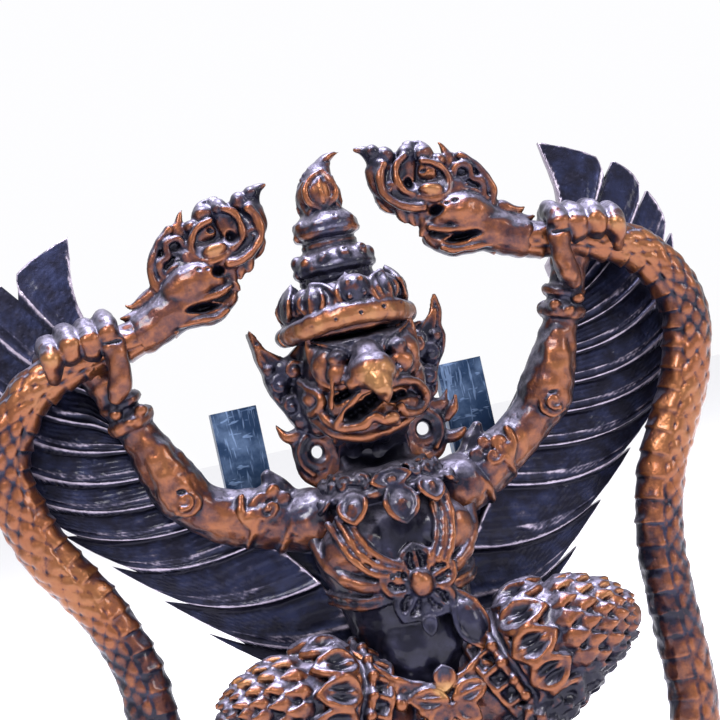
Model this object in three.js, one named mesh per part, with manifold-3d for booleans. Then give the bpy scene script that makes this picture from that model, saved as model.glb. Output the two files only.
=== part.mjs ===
// Garuda grasping two nagas: a small cast amulet figure that stands on a low plinth, with two flat
// strips upright behind its wings. Millimetres, +Z up, the figure faces -Y, and the origin is the
// centre of the plinth's underside.
import * as THREE from 'three';
import { mergeVertices } from 'three/addons/utils/BufferGeometryUtils.js';
import Module from 'manifold-3d';

// Driving sizes
const FIGURE_HEIGHT = 41; // from the plinth's top to the tip of the crown
const PLINTH_HEIGHT = 3;
const PLINTH_MARGIN = 1.1; // of the plinth's top beyond the coils and the strips that stand on it
const PLINTH_FOOT = 0.7; // of the plinth's foot beyond its top
const PLINTH_WAIST = 0.8; // of the plinth's waist inside its top
const STRIP_WIDTH = 2.6;
const STRIP_THICKNESS = 1;
const STRIP_LENGTH = 28.6;
const STRIP_SPACING = 13.1; // between the centre lines of the two strips
const STRIP_CLEARANCE = 0.3; // between a strip and the back of the wings

// The figure's proportions and pose are shares of its height: a part is a hundredth of it.
const PART = FIGURE_HEIGHT / 100;
const FIGURE_BACK = 7; // parts behind the middle plane, where the wings and the tail end
const COIL_REACH = 33; // parts to either side that the nagas' coils cover on the plinth
const COIL_FRONT = 12; // parts before the middle plane that the tails and the claws cover
const CROWN_SIDES = 12;
const FEATHERS = 10; // in each wing
const TAIL_FEATHERS = 5;
const NAGA_BANDS = 17; // raised bands along each naga's body
const CROWN_PETALS = 7; // over the circlet's front
const PETALS = 9; // on the collar
const BOTH = [1, -1];
const SLIVER = 0.02; // slivers narrower than this, which the joins leave, are closed up
const WELD = 0.001; // vertices closer than this are one

const wasm = await Module();
wasm.setup();

const FRONTWARDS = new THREE.Vector3(0, -1, 0);
const UPWARDS = new THREE.Vector3(0, 0, 1);

// A place given in parts, on the plinth.
const at = (x, y, z) => new THREE.Vector3(x, y, z).multiplyScalar(PART).setZ(PLINTH_HEIGHT + z * PART);

// A value read at share t along a list, straight between its neighbours.
function along(list, t) {
  const step = Math.min(Math.floor(t * (list.length - 1)), list.length - 2);
  return THREE.MathUtils.lerp(list[step], list[step + 1], t * (list.length - 1) - step);
}

// Moves each vertex of a geometry to where a rule puts it.
function warp(geometry, rule) {
  const places = geometry.getAttribute('position');
  const spot = new THREE.Vector3();
  for (let i = 0; i < places.count; i += 1) {
    const to = rule(spot.fromBufferAttribute(places, i));
    places.setXYZ(i, to.x, to.y, to.z);
  }
  return geometry;
}

// The other side's copy of a geometry, with its faces turned to point outwards again.
function mirrored(geometry) {
  const copy = (geometry.index ? geometry.toNonIndexed() : geometry.clone()).scale(-1, 1, 1);
  const places = copy.getAttribute('position');
  const a = new THREE.Vector3();
  const b = new THREE.Vector3();
  for (let i = 0; i < places.count; i += 3) {
    a.fromBufferAttribute(places, i + 1);
    b.fromBufferAttribute(places, i + 2);
    places.setXYZ(i + 1, b.x, b.y, b.z);
    places.setXYZ(i + 2, a.x, a.y, a.z);
  }
  return copy;
}

const onBothSides = (geometries) => geometries.flatMap((one) => [one, mirrored(one)]);

// Stations of a round sweep that all have one radius.
const evenly = (radius, places) => places.map((place) => [...place, radius]);

// A closed geometry as a solid that can be joined and cut.
function solidOf(geometry) {
  const bare = geometry.index ? geometry.toNonIndexed() : geometry.clone();
  ['normal', 'uv'].forEach((name) => bare.deleteAttribute(name));
  const merged = mergeVertices(bare, WELD);
  const kept = [];
  for (let i = 0; i < merged.index.count; i += 3) {
    const [a, b, c] = [0, 1, 2].map((n) => merged.index.getX(i + n));
    if (a !== b && b !== c && c !== a) kept.push(a, b, c);
  }
  return new wasm.Manifold(new wasm.Mesh({
    numProp: 3,
    vertProperties: merged.getAttribute('position').array,
    triVerts: new Uint32Array(kept),
  }));
}

const addUp = (solids) => solids.reduce((whole, next) => whole.add(next));
const join = (geometries) => addUp(geometries.map(solidOf));

// A solid with the pockets that its crossing pieces closed off inside it filled.
const filled = (solid) => addUp(solid.decompose().filter((body) => body.volume() > 0));

// The surface of a solid as a geometry.
function surfaceOf(solid) {
  const { vertProperties, triVerts } = solid.getMesh();
  const geometry = new THREE.BufferGeometry();
  geometry.setAttribute('position', new THREE.BufferAttribute(new Float32Array(vertProperties), 3));
  geometry.setIndex(new THREE.BufferAttribute(new Uint32Array(triVerts), 1));
  return geometry;
}

// A solid whose slivers are closed up, and where surfaces that only touch are one.
const tidied = (solid) => filled(solidOf(surfaceOf(filled(solid).asOriginal().simplify(SLIVER))));

// A geometry as a mesh of its own, with flat facets.
function meshOf(geometry, name, material) {
  geometry.computeVertexNormals();
  const mesh = new THREE.Mesh(geometry, material);
  mesh.name = name;
  return mesh;
}

// A solid along a smooth line. A station is x, y, z, half width and half thickness, in parts, and the
// thickness lies along facing.
function sweep(stations, { sides = 6, steps = 6, facing = FRONTWARDS, swell = () => 1 } = {}) {
  const line = new THREE.CatmullRomCurve3(stations.map(([x, y, z]) => at(x, y, z)));
  const widths = stations.map((station) => station[3] * PART);
  const depths = stations.map((station) => (station[4] ?? station[3]) * PART);
  return warp(new THREE.CylinderGeometry(1, 1, 1, sides, steps), ({ x, y, z }) => {
    const t = THREE.MathUtils.clamp(0.5 - y, 0, 1);
    const heading = line.getTangent(t);
    const across = heading.clone().cross(facing).normalize();
    const outwards = heading.clone().cross(across);
    const size = swell(t);
    return line.getPoint(t)
      .addScaledVector(across, x * along(widths, t) * size)
      .addScaledVector(outwards, z * along(depths, t) * size);
  });
}

// An egg of three half sizes round a place, in parts.
function egg([x, y, z], [wide, deep, high], { around = 8, rows = 6 } = {}) {
  const { x: px, y: py, z: pz } = at(x, y, z);
  return new THREE.SphereGeometry(1, around, rows)
    .rotateX(Math.PI / 2)
    .scale(wide * PART, deep * PART, high * PART)
    .translate(px, py, pz);
}

// A turned solid round an upright axis: its profile is radius and height, in parts.
function turned(profile, [x, y], { sides = CROWN_SIDES, depth = 1 } = {}) {
  const outline = profile.map(([radius, height]) => new THREE.Vector2(radius * PART, height * PART));
  return new THREE.LatheGeometry(outline, sides)
    .rotateX(Math.PI / 2)
    .scale(1, depth, 1)
    .translate(x * PART, y * PART, PLINTH_HEIGHT);
}

// A flat ornament cut from an outline of x and z, in parts, from one depth forwards.
function cutOut(outline, { back, thickness }) {
  const shape = new THREE.Shape(outline.map(([x, z]) => new THREE.Vector2(x * PART, z * PART)));
  return new THREE.ExtrudeGeometry(shape, { depth: thickness * PART, bevelEnabled: false })
    .rotateX(Math.PI / 2)
    .translate(0, back * PART, PLINTH_HEIGHT);
}

// A fan of overlapping feathers: each runs from the root line, bowed by the bow line, to a broad tip of
// its own on the tips' line, and stands proud at its lower edge. The notch is where two of them part.
function featherFan({ root, bow, tips, feathers, spans, thickness, relief, notch }) {
  const [roots, bows, ends] = [root, bow, tips].map(
    (places) => new THREE.CatmullRomCurve3(places.map(([x, y, z]) => at(x, y, z))));
  const rows = [
    { from: 0, tip: -0.5, reach: notch, proud: 0 },
    { from: 0.3, tip: -0.25, reach: 0.96, proud: 0 },
    { from: 0.8, tip: 0.25, reach: 1, proud: relief },
  ];
  const count = rows.length * feathers;
  return warp(new THREE.BoxGeometry(1, 1, 1, spans, count, 1), ({ x, y, z }) => {
    const index = Math.round((y + 0.5) * count);
    const feather = Math.floor(index / rows.length);
    const row = rows[index % rows.length];
    const v = (feather + row.from) / feathers;
    const end = ends.getPoint(THREE.MathUtils.clamp((feather + row.tip) / (feathers - 1), 0, 1));
    const u = (x + 0.5) * row.reach;
    const spot = new THREE.QuadraticBezierCurve3(roots.getPoint(v), bows.getPoint(v), end).getPoint(u);
    const taper = 1 - 0.65 * u;
    const lift = z > 0 ? thickness / 2 : -thickness / 2 - row.proud;
    return spot.setY(spot.y + lift * taper * PART);
  });
}

// The torso, from the hips to the neck, with the swell of the breast.
function torso() {
  const hips = egg([0, 0.2, 23.6], [9.4, 6, 7], { around: 10, rows: 6 });
  const trunk = sweep([
    [0, -1, 22, 7, 5],
    [0, -1, 27, 9, 6.6],
    [0, -1.8, 34, 7.8, 6.6],
    [0, -2.2, 41, 9, 6.8],
    [0, -1.8, 48, 11.6, 6.8],
    [0, -0.6, 54, 10, 5.2],
    [0, -1, 59, 5.2, 4.6],
    [0, -2, 66, 4.6, 4.4],
  ], { sides: 10, steps: 9 });
  const breasts = onBothSides([egg([5, -5.8, 48.4], [5, 3, 4.2], { around: 8, rows: 5 })]);
  return [hips, trunk, ...breasts];
}

// The head below the crown: skull, jaw, brows, eyes, cheeks and the hooked beak over an open mouth.
function head() {
  const mouth = egg([0, -11.6, 65.9], [4.4, 4, 1.5], { around: 8, rows: 4 });
  const solid = join([
    egg([0, -2.5, 70.5], [7.6, 7.4, 9], { around: 12, rows: 8 }),
    egg([0, -5.6, 66], [6.2, 5.2, 4.2], { around: 10, rows: 6 }),
    ...onBothSides([
      sweep(evenly(1.1, [[1.2, -9.8, 73.6], [4.4, -9.8, 75], [7.8, -6.4, 75.4]]), { sides: 5, steps: 4 }),
      egg([6, -6.6, 68.2], [1.8, 2, 2.2], { around: 6, rows: 4 }),
    ]),
  ]);
  const beak = sweep([[0, -7, 73.4, 2.6, 2.2], [0, -11.4, 72.6, 3, 2.4], [0, -14, 70.2, 1.8, 1.5],
    [0, -14.2, 67.4, 0.3, 0.3]], { sides: 8, steps: 6, facing: UPWARDS });
  const eyes = onBothSides([egg([4.3, -8.4, 71.8], [2.1, 2, 2.1], { around: 7, rows: 5 })]);
  const lip = onBothSides([
    sweep(evenly(0.8, [[0.4, -11.6, 64.2], [3.6, -10.4, 63.8], [6.4, -7.4, 66.4]]), { sides: 4, steps: 4 }),
  ]);
  return [solid.subtract(solidOf(mouth)), join([beak, ...eyes, ...lip])];
}

// A place on a round of petals, as its sideways and frontward shares: the first and last are at spread degrees.
function petalTurn(index, count, spread) {
  const turn = THREE.MathUtils.degToRad(THREE.MathUtils.lerp(-spread, spread, index / (count - 1)));
  return [Math.sin(turn), -Math.cos(turn)];
}

// The tiered crown with its circlet and petals, and the finial that bends over at the tip.
function crown() {
  const bend = 3;
  const bendFrom = 96;
  const tiers = turned([
    [0, 73], [8.4, 74.6], [9.3, 75.8], [9.3, 78.4], [8.4, 79.4], [7.2, 79.6], [7.6, 81.4], [5.4, 83.4],
    [4.4, 84.2], [5.5, 85.6], [5.2, 87], [3.3, 88.2], [3.1, 89.2], [4.2, 90.4], [3.8, 91.6], [2.2, 92.5],
    [3.1, 94.8], [2.4, 97], [0.9, 98.8], [0, 100],
  ], [0, -2.5]);
  const bent = warp(tiers, (spot) => {
    const above = Math.max((spot.z - PLINTH_HEIGHT) / PART - bendFrom, 0) / (100 - bendFrom);
    return spot.setX(spot.x + bend * PART * above ** 2);
  });
  const petals = Array.from({ length: CROWN_PETALS }, (_, i) => {
    const [side, front] = petalTurn(i, CROWN_PETALS, 100);
    return egg([7.2 * side, 7.2 * front - 2.5, 80.6], [1.9, 1.7, 2.3], { around: 5, rows: 4 });
  });
  return [bent, ...petals];
}

// The flame-shaped ornament that stands out beside each ear, down to the collar.
function earFlame() {
  return cutOut([
    [6, 76], [9.6, 74.4], [12, 76], [13.4, 79], [13.2, 74.6], [12.6, 72], [13, 69.4], [11.8, 67], [12, 64],
    [10.6, 61.8], [11.4, 59.4], [8.4, 57.6], [3.6, 58.6], [4.4, 66],
  ], { back: 0.6, thickness: 2.6 });
}

// The collar's ring with its row of hanging petals.
function collar() {
  const profile = [[0, 53], [8, 53.4], [8.4, 54.8], [6.6, 56.6], [0, 57]];
  const ring = turned(profile, [0, -1.2], { sides: 14, depth: 0.8 });
  const petals = Array.from({ length: PETALS }, (_, i) => {
    const [side, front] = petalTurn(i, PETALS, 74);
    return sweep([
      [7 * side, 5 * front - 1.2, 54, 1.1, 0.7],
      [9.2 * side, 6.4 * front - 1.2, 51.6, 1.8, 0.9],
      [9.6 * side, 6.9 * front - 1, 48.8, 0.1, 0.2],
    ], { sides: 4, steps: 2, facing: new THREE.Vector3(side, front, 0) });
  });
  return [ring, ...petals];
}

// The breast jewel, and the two bands that carry it from each shoulder and round the ribs.
function jewelAndBands() {
  const rays = 8;
  const star = Array.from({ length: 2 * rays }, (_, i) => {
    const turn = (i * Math.PI) / rays;
    const reach = i % 2 ? 2.9 : 4.4 + (i % 4 ? 0 : 1.2);
    return [reach * Math.sin(turn), 42.3 + reach * Math.cos(turn)];
  });
  return [
    cutOut(star, { back: -6, thickness: 3.6 }),
    egg([0, -9.6, 42.3], [2.2, 1.8, 2.2], { around: 6, rows: 4 }),
    ...onBothSides([
      sweep([[8.6, -3.8, 53, 1.2], [7.6, -7.4, 48, 1.2], [3.4, -8.8, 43.8, 1]], { sides: 4, steps: 5 }),
      sweep([[9.8, -1.6, 43.6, 1.1], [7.2, -6.8, 42, 1.1], [3, -8.6, 41.6, 1]], { sides: 4, steps: 4 }),
    ]),
  ];
}

// An arm raised from the shoulder, with its armlet, elbow ornament and bracelets.
function arm() {
  const upper = sweep([
    [6, -0.4, 52.6, 4.4], [12, 0, 53.4, 3.9], [14.2, 0, 54.6, 4.7], [16.6, 0, 55.8, 3.4],
    [21, 0.2, 58.4, 3.1], [24, 0, 61.4, 3.3],
  ], { sides: 7, steps: 8 });
  const lower = sweep([
    [22.6, 0.2, 58.8, 2.6], [24.6, -0.3, 62.4, 3.8], [26.4, -0.8, 66, 3.3], [28.4, -1.2, 70.6, 2.5],
    [29.2, -1.3, 72.4, 3.5], [29.8, -1.5, 74, 2.7], [30.4, -1.7, 75.6, 3.3], [31.6, -2, 78.8, 2.3],
  ], { sides: 7, steps: 8 });
  return [upper, lower];
}

// A fist closed round a naga's neck: palm, four fingers over the top and the thumb down the inside.
function hand() {
  const palm = egg([35, -1.2, 81.6], [5.4, 3.2, 4], { around: 8, rows: 6 });
  const fingers = [31.4, 34, 36.6, 39].map((x, i) => sweep([
    [x, 1.4, 83.2 - i * 0.4, 1.1], [x + 0.2, -2.4, 86.2 - i * 0.5, 1.4],
    [x + 0.2, -6.4, 84.6 - i * 0.4, 1.5], [x - 0.2, -6.9, 80.8 - i * 0.3, 1.1],
  ], { sides: 5, steps: 4, facing: new THREE.Vector3(1, 0, 0) }));
  const thumb = sweep([[31.4, -4.6, 84, 1.6], [30.6, -6, 80.4, 1.4], [30.8, -5.2, 76.6, 1.2]], { sides: 6, steps: 4 });
  return [palm, ...fingers, thumb];
}

// A naga: its head turned in towards the crown, its neck through the fist, its body down beside the
// wing and its tail coiled in front of the feet.
function naga() {
  const ripple = (t) => 1 + 0.08 * Math.cos(2 * Math.PI * NAGA_BANDS * t);
  const body = sweep([
    [20, -3.6, 86, 2.6], [26, -3.6, 83.4, 2.7], [34.6, -3.4, 81.8, 2.8], [41.6, -2.6, 78.4, 3.3],
    [45.6, -1.6, 70.4, 3.7], [44.2, -1, 60, 3.9], [38.6, -1, 50, 3.8], [34.8, -1.2, 40, 3.8],
    [34.8, -1.4, 29, 3.7], [35.2, -1.8, 17.4, 3.5], [31.8, -3, 7.4, 3.3], [24, -5.4, 3, 3],
    [15, -7.6, 2.6, 2.5], [7, -8.8, 2.6, 1.7], [2, -9.6, 4.4, 0.5],
  ], { sides: 6, steps: 2 * NAGA_BANDS, swell: ripple });
  const cheek = egg([18.4, -3.8, 88.6], [4.6, 3, 4.2], { around: 8, rows: 6 });
  const snout = sweep([
    [18, -3.8, 90, 3], [13.6, -3.8, 89.8, 2.7], [10.4, -3.8, 92.2, 2.4], [9.4, -3.8, 96, 1.7],
    [7.2, -3.6, 99.2, 0.3],
  ], { sides: 6, steps: 8 });
  const lowerJaw = sweep([[20.6, -3.8, 86.6, 2.2, 2], [16.4, -3.8, 84.8, 1.8], [13.4, -3.8, 85.6, 1.1],
    [12.4, -3.8, 87, 0.2]], { sides: 5, steps: 5 });
  const crest = cutOut([
    [10.6, 93], [12.2, 97.4], [14.4, 98.6], [14.8, 96.2], [17.2, 97], [17.6, 94.8], [19.2, 97.4], [21.8, 95.6],
    [23.4, 92], [22.8, 89.6], [25.8, 87.6], [21, 85.6], [17, 88],
  ], { back: -2.2, thickness: 3 });
  const eye = egg([15.2, -5.4, 92.8], [1.9, 1.4, 1.5], { around: 6, rows: 4 });
  return [body, cheek, snout, lowerJaw, crest, eye];
}

// A wing: nine long feathers that fan from the shoulder blade up to the tip and down to the hip.
function wing() {
  return featherFan({
    root: [[5, 3, 54], [3.6, 3, 50], [2.4, 3.4, 42], [1.6, 3.6, 34], [1, 3.6, 28]],
    bow: [[34.4, 3.4, 58], [35, 3.6, 52], [31, 4.2, 40], [22, 4.6, 31], [13, 4.6, 29]],
    tips: [
      [31.4, 5, 95.8], [40.4, 5, 92], [46.6, 5, 83], [48, 5, 71], [41.4, 5, 57.4], [31, 5, 46.6], [22.8, 5, 38.4],
    ],
    feathers: FEATHERS,
    spans: 5,
    thickness: 3,
    relief: 1.8,
    notch: 0.82,
  });
}

// The tail behind the legs: short feathers that hang from the waist to the plinth.
function tail() {
  return featherFan({
    root: [[5, 1, 25], [0, 1, 26], [-5, 1, 25]],
    bow: [[9, 3.4, 15], [0, 3.4, 17], [-9, 3.4, 15]],
    tips: [[11, 4.4, -1], [0, 4.4, -2], [-11, 4.4, -1]],
    feathers: TAIL_FEATHERS,
    spans: 3,
    thickness: 3,
    relief: 1,
    notch: 1,
  });
}

// A leg bent outwards at the knee, its shin slanting back inwards, with a garter and an anklet, and a foot
// whose claws hold the coil below.
function leg() {
  const thigh = sweep([
    [4, -1.6, 25, 6], [11, -4, 28.4, 7.6], [18, -7, 31, 7.2], [23.4, -8.6, 31, 5.4], [27.2, -9.2, 29.8, 2],
  ], { sides: 8, steps: 6 });
  const garter = sweep([[13, -4.9, 29.2, 8], [15.4, -5.9, 30, 8]], { sides: 8, steps: 1 });
  const shin = sweep([
    [22.4, -8.4, 30.4, 2.6], [19.4, -8.6, 27.6, 4], [14.4, -8.6, 23.8, 3.9], [10.6, -8, 18.6, 3.4],
    [9, -7, 13, 3.3], [8.8, -6.4, 8, 2.4],
  ], { sides: 6, steps: 6 });
  const toes = [6.2, 8.8, 11.4].map((x) => sweep([
    [8.8, -5.8, 8.6, 2.2], [x + 0.2, -8.8, 7.4, 1.5], [x, -10.8, 4.6, 1.2], [x, -11.6, 1.4, 0.3],
  ], { sides: 4, steps: 4 }));
  return [thigh, garter, shin, ...toes];
}

// The belt, and the pointed cloth panel that hangs from it between the legs.
function beltAndPanel() {
  const profile = [[0, 26.4], [9, 26.8], [9.8, 28.2], [9, 29.8], [0, 30.2]];
  const belt = turned(profile, [0, -1.2], { sides: 14, depth: 0.82 });
  const panel = sweep([
    [0, -6.6, 29, 2.6, 1], [0, -8.2, 22, 3.4, 1.1], [0, -8.4, 12, 4, 1.1], [0, -8.8, 5, 3.4, 1.2],
    [0, -9.2, -1, 2, 1],
  ], { sides: 6, steps: 5 });
  return [belt, panel];
}

// The figure, cast in one with its wings and the nagas, and cut flat where it stands.
function garuda() {
  const [skull, face] = head();
  const carved = join([
    ...torso(), ...crown(), tail(), ...collar(), ...jewelAndBands(), ...beltAndPanel(),
    ...onBothSides([earFlame(), ...arm(), ...hand(), ...naga(), wing(), ...leg()]),
  ]).add(skull).add(face);
  const below = new THREE.BoxGeometry(4 * FIGURE_HEIGHT, 4 * FIGURE_HEIGHT, FIGURE_HEIGHT)
    .translate(0, 0, PLINTH_HEIGHT - FIGURE_HEIGHT / 2);
  return surfaceOf(tidied(carved.subtract(solidOf(below))));
}

// The strips' front face lies clear of the figure's back.
const stripFront = FIGURE_BACK * PART + STRIP_CLEARANCE;
const stripMiddle = stripFront + STRIP_THICKNESS / 2;

// One upright strip behind a wing, standing on the plinth.
const strip = (side) => new THREE.BoxGeometry(STRIP_WIDTH, STRIP_THICKNESS, STRIP_LENGTH)
  .translate((side * STRIP_SPACING) / 2, stripMiddle, PLINTH_HEIGHT + STRIP_LENGTH / 2);

// The plinth: a long round-ended block with a foot, a waist and a flat top under all that stands on it.
function plinth() {
  const halfWidth = COIL_REACH * PART + PLINTH_MARGIN;
  const halfDepth = Math.max(COIL_FRONT * PART, stripFront + STRIP_THICKNESS) + PLINTH_MARGIN;
  const levels = [
    [0, 0, PLINTH_FOOT], [0.22, 0, PLINTH_FOOT], [0.4, -PLINTH_WAIST, 0], [0.68, -PLINTH_WAIST, 0],
    [0.84, 0, 0], [1, 0, 0],
  ].map(([height, inset, foot]) => ({ z: height * PLINTH_HEIGHT, out: inset + foot }));
  const squareness = 0.45; // from 1, an ellipse, towards 0, a rectangle
  const sides = 36;
  const block = new THREE.CylinderGeometry(1, 1, 1, sides, levels.length - 1);
  return warp(block, ({ x, y, z }) => {
    const level = levels[Math.round((y + 0.5) * (levels.length - 1))];
    const round = (share) => Math.sign(share) * Math.abs(share) ** squareness;
    return new THREE.Vector3(round(x) * (halfWidth + level.out), round(-z) * (halfDepth + level.out), level.z);
  });
}

const metal = (color, roughness) => new THREE.MeshStandardMaterial({
  color, roughness, metalness: 0.8, flatShading: true,
});
const bronze = metal(0x6e3a22, 0.38);
const darkBronze = metal(0x3a2a2a, 0.45);
const darkSteel = metal(0x2b3644, 0.4);

const object = new THREE.Group();
object.name = 'garuda_amulet';
object.add(meshOf(garuda(), 'garuda', bronze));
object.add(meshOf(plinth(), 'plinth', darkBronze));
BOTH.forEach((side) => {
  object.add(meshOf(strip(side), side > 0 ? 'back_strip_right' : 'back_strip_left', darkSteel));
});

export default object;
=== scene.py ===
"""Garuda grasping two nagas: the cast and patinated looks of a small bronze figure on its plinth.

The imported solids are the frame. Each sub-assembly is modelled again in full relief, in parts of the
figure (a hundredth of its height, measured up from the plinth's top, the front towards -y), is cast as
one skin, and replaces the plain solid. Two dark steel strips stand behind the wings.
"""

from __future__ import annotations

import logging
import math
from dataclasses import dataclass, field
from enum import Enum
from typing import Callable, Iterable, Sequence

import bmesh
import bpy
import numpy as np
from mathutils import Euler, Matrix, Vector, noise

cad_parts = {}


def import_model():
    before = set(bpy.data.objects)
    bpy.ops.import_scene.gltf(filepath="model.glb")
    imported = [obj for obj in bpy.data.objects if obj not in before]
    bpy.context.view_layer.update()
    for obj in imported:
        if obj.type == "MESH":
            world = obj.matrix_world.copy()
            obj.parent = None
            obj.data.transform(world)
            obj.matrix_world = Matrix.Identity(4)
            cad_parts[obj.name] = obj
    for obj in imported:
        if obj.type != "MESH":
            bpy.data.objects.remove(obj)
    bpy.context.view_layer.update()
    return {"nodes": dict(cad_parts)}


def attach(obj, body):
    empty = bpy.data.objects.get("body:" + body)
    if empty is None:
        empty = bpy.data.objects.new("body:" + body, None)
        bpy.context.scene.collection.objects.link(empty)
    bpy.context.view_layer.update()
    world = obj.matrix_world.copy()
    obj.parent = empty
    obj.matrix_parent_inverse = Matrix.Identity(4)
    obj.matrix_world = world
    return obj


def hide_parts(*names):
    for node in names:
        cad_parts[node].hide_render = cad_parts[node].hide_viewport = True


LOG = logging.getLogger("garuda")

PART = 0.00041  # metres: a hundredth of the figure's height
PLINTH_TOP = 0.003  # metres
ROOT = "root"
LEFT_HAND = (-1.1, 0.0, -2.2)  # parts: where the left hand is, against the right hand's mirror image
TURN = 2 * math.pi  # radians
WELD = 1e-3  # parts: vertices closer than this are one
BENCH = 700  # vertices worked on at a time
CAPS = ((0.0, 1.0), (0.5, 0.87), (0.87, 0.5))  # a rod's rounded end: the share of its size, and how far out
FRONT = (0, -1, 0)  # the way that the figure looks
ROUNDS = (3, 26, 60)  # of evening out, from which a fine, a wide and a broad form stand out
EASE = 0.6  # how far each of them takes a vertex towards its neighbours' mean
QUICK_GRAIN = 1.6

Row = Sequence[float]
Rows = Sequence[Row]
Tint = tuple[float, float, float]
Array = np.ndarray
Piece = bpy.types.Object
Socket = bpy.types.NodeSocket


class Slot(Enum):
    """The record's material slots that the modelled pieces are labelled with."""

    BRONZE = "bronze"
    DARK_BRONZE = "dark_bronze"


# Small mathematics


def smoothstep(low: float, high: float, value: Array) -> Array:
    """A soft step from 0 to 1.

    Args:
        low: Where the step starts.
        high: Where it ends.
        value: The values to step.

    Returns:
        Shares from 0 to 1.
    """
    t = np.clip((value - low) / (high - low), 0.0, 1.0)
    return t * t * (3.0 - 2.0 * t)


def smooth_line(stations: Rows, steps: int, closed: bool = False) -> Array:
    """A smooth line through stations, with every column carried along.

    Args:
        stations: Rows of equal length; the line passes through each of them.
        steps: Places from one station to the next.
        closed: Whether the last station leads back to the first.

    Returns:
        One row for each place along the line.
    """
    given = np.array(stations, float)
    if closed:
        around = np.vstack([given[-1:], given, given[:2]])
    else:
        around = np.vstack([2 * given[:1] - given[1:2], given, 2 * given[-1:] - given[-2:-1]])
    count = len(around) - 3
    place = np.linspace(0.0, count, count * steps + 1)
    index = np.minimum(place.astype(int), count - 1)
    t = (place - index)[:, None]
    a, b, c, d = (around[index + i] for i in range(4))
    line = 0.5 * (2 * b + (c - a) * t + (2 * a - 5 * b + 4 * c - d) * t**2 + (3 * b - a - 3 * c + d) * t**3)
    if given.shape[1] > 3:
        line[:, 3:] = np.maximum(line[:, 3:], 0.05)
    return line


def unit(vectors: Array) -> Array:
    """Vectors of length one.

    Args:
        vectors: Rows of vectors.

    Returns:
        The same directions with length one.
    """
    return vectors / np.maximum(np.linalg.norm(vectors, axis=-1, keepdims=True), 1e-9)


def even_turns(count: int) -> Array:
    """The radians of places spread evenly round a full turn."""
    return np.linspace(0, TURN, count + 1)[:-1]


def flipped(place: Row) -> tuple[float, ...]:
    """A place or a shift on the other side of the middle."""
    return (-place[0], *place[1:])


def sided(name: str, side: int) -> str:
    """A piece's name, with the side of the picture that it is on where it has one."""
    return name + {1: "_right", -1: "_left"}.get(side, "")


def lengths_along(line: Array) -> Array:
    """The length of a line from its start to each of its places."""
    return np.concatenate([[0], np.cumsum(np.linalg.norm(np.diff(line, axis=0), axis=1))])


def looked_up(at: Array | float, stops: Array, rows: Array) -> Array:
    """Rows between given rows.

    Args:
        at: Where they are wanted.
        stops: Where the given rows are.
        rows: The given rows.

    Returns:
        One row for each place that is wanted.
    """
    return np.stack([np.interp(at, stops, column) for column in rows.T], -1)


def frames_along(points: Array, facing: Row) -> tuple[Array, Array]:
    """The two directions square to a line at each of its points.

    Args:
        points: The line's places.
        facing: The direction that the second of the two keeps closest to.

    Returns:
        The sideways and the facing directions, one row for each place.
    """
    heading = unit(np.gradient(points, axis=0))
    front = np.broadcast_to(np.array(facing, float), heading.shape)
    across = np.cross(heading, front)
    weak = np.linalg.norm(across, axis=1) < 0.2
    for i in np.nonzero(weak)[0]:
        before = across[i - 1] if i else np.array([1.0, 0.0, 0.0])
        across[i] = before - heading[i] * before.dot(heading[i])
    across = unit(across)
    return across, unit(np.cross(across, heading))


# The modelling kit


@dataclass
class Press:
    """A place where a tool pressed the wax in, or drew it out, and how far it is darkened with patina and painted
    shade.
    """

    centre: Row
    radii: Row
    shift: Row
    grime_and_shade: float = 0.7

    def mirrored(self) -> Press:
        """The other side's copy."""
        return Press(flipped(self.centre), self.radii, flipped(self.shift), self.grime_and_shade)


@dataclass
class Rub:
    """A place that wear has rubbed bright, or left dark where the amount is negative."""

    centre: Row
    radius: float
    amount: float

    def mirrored(self) -> Rub:
        """The other side's copy."""
        return Rub(flipped(self.centre), self.radius, self.amount)


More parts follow.
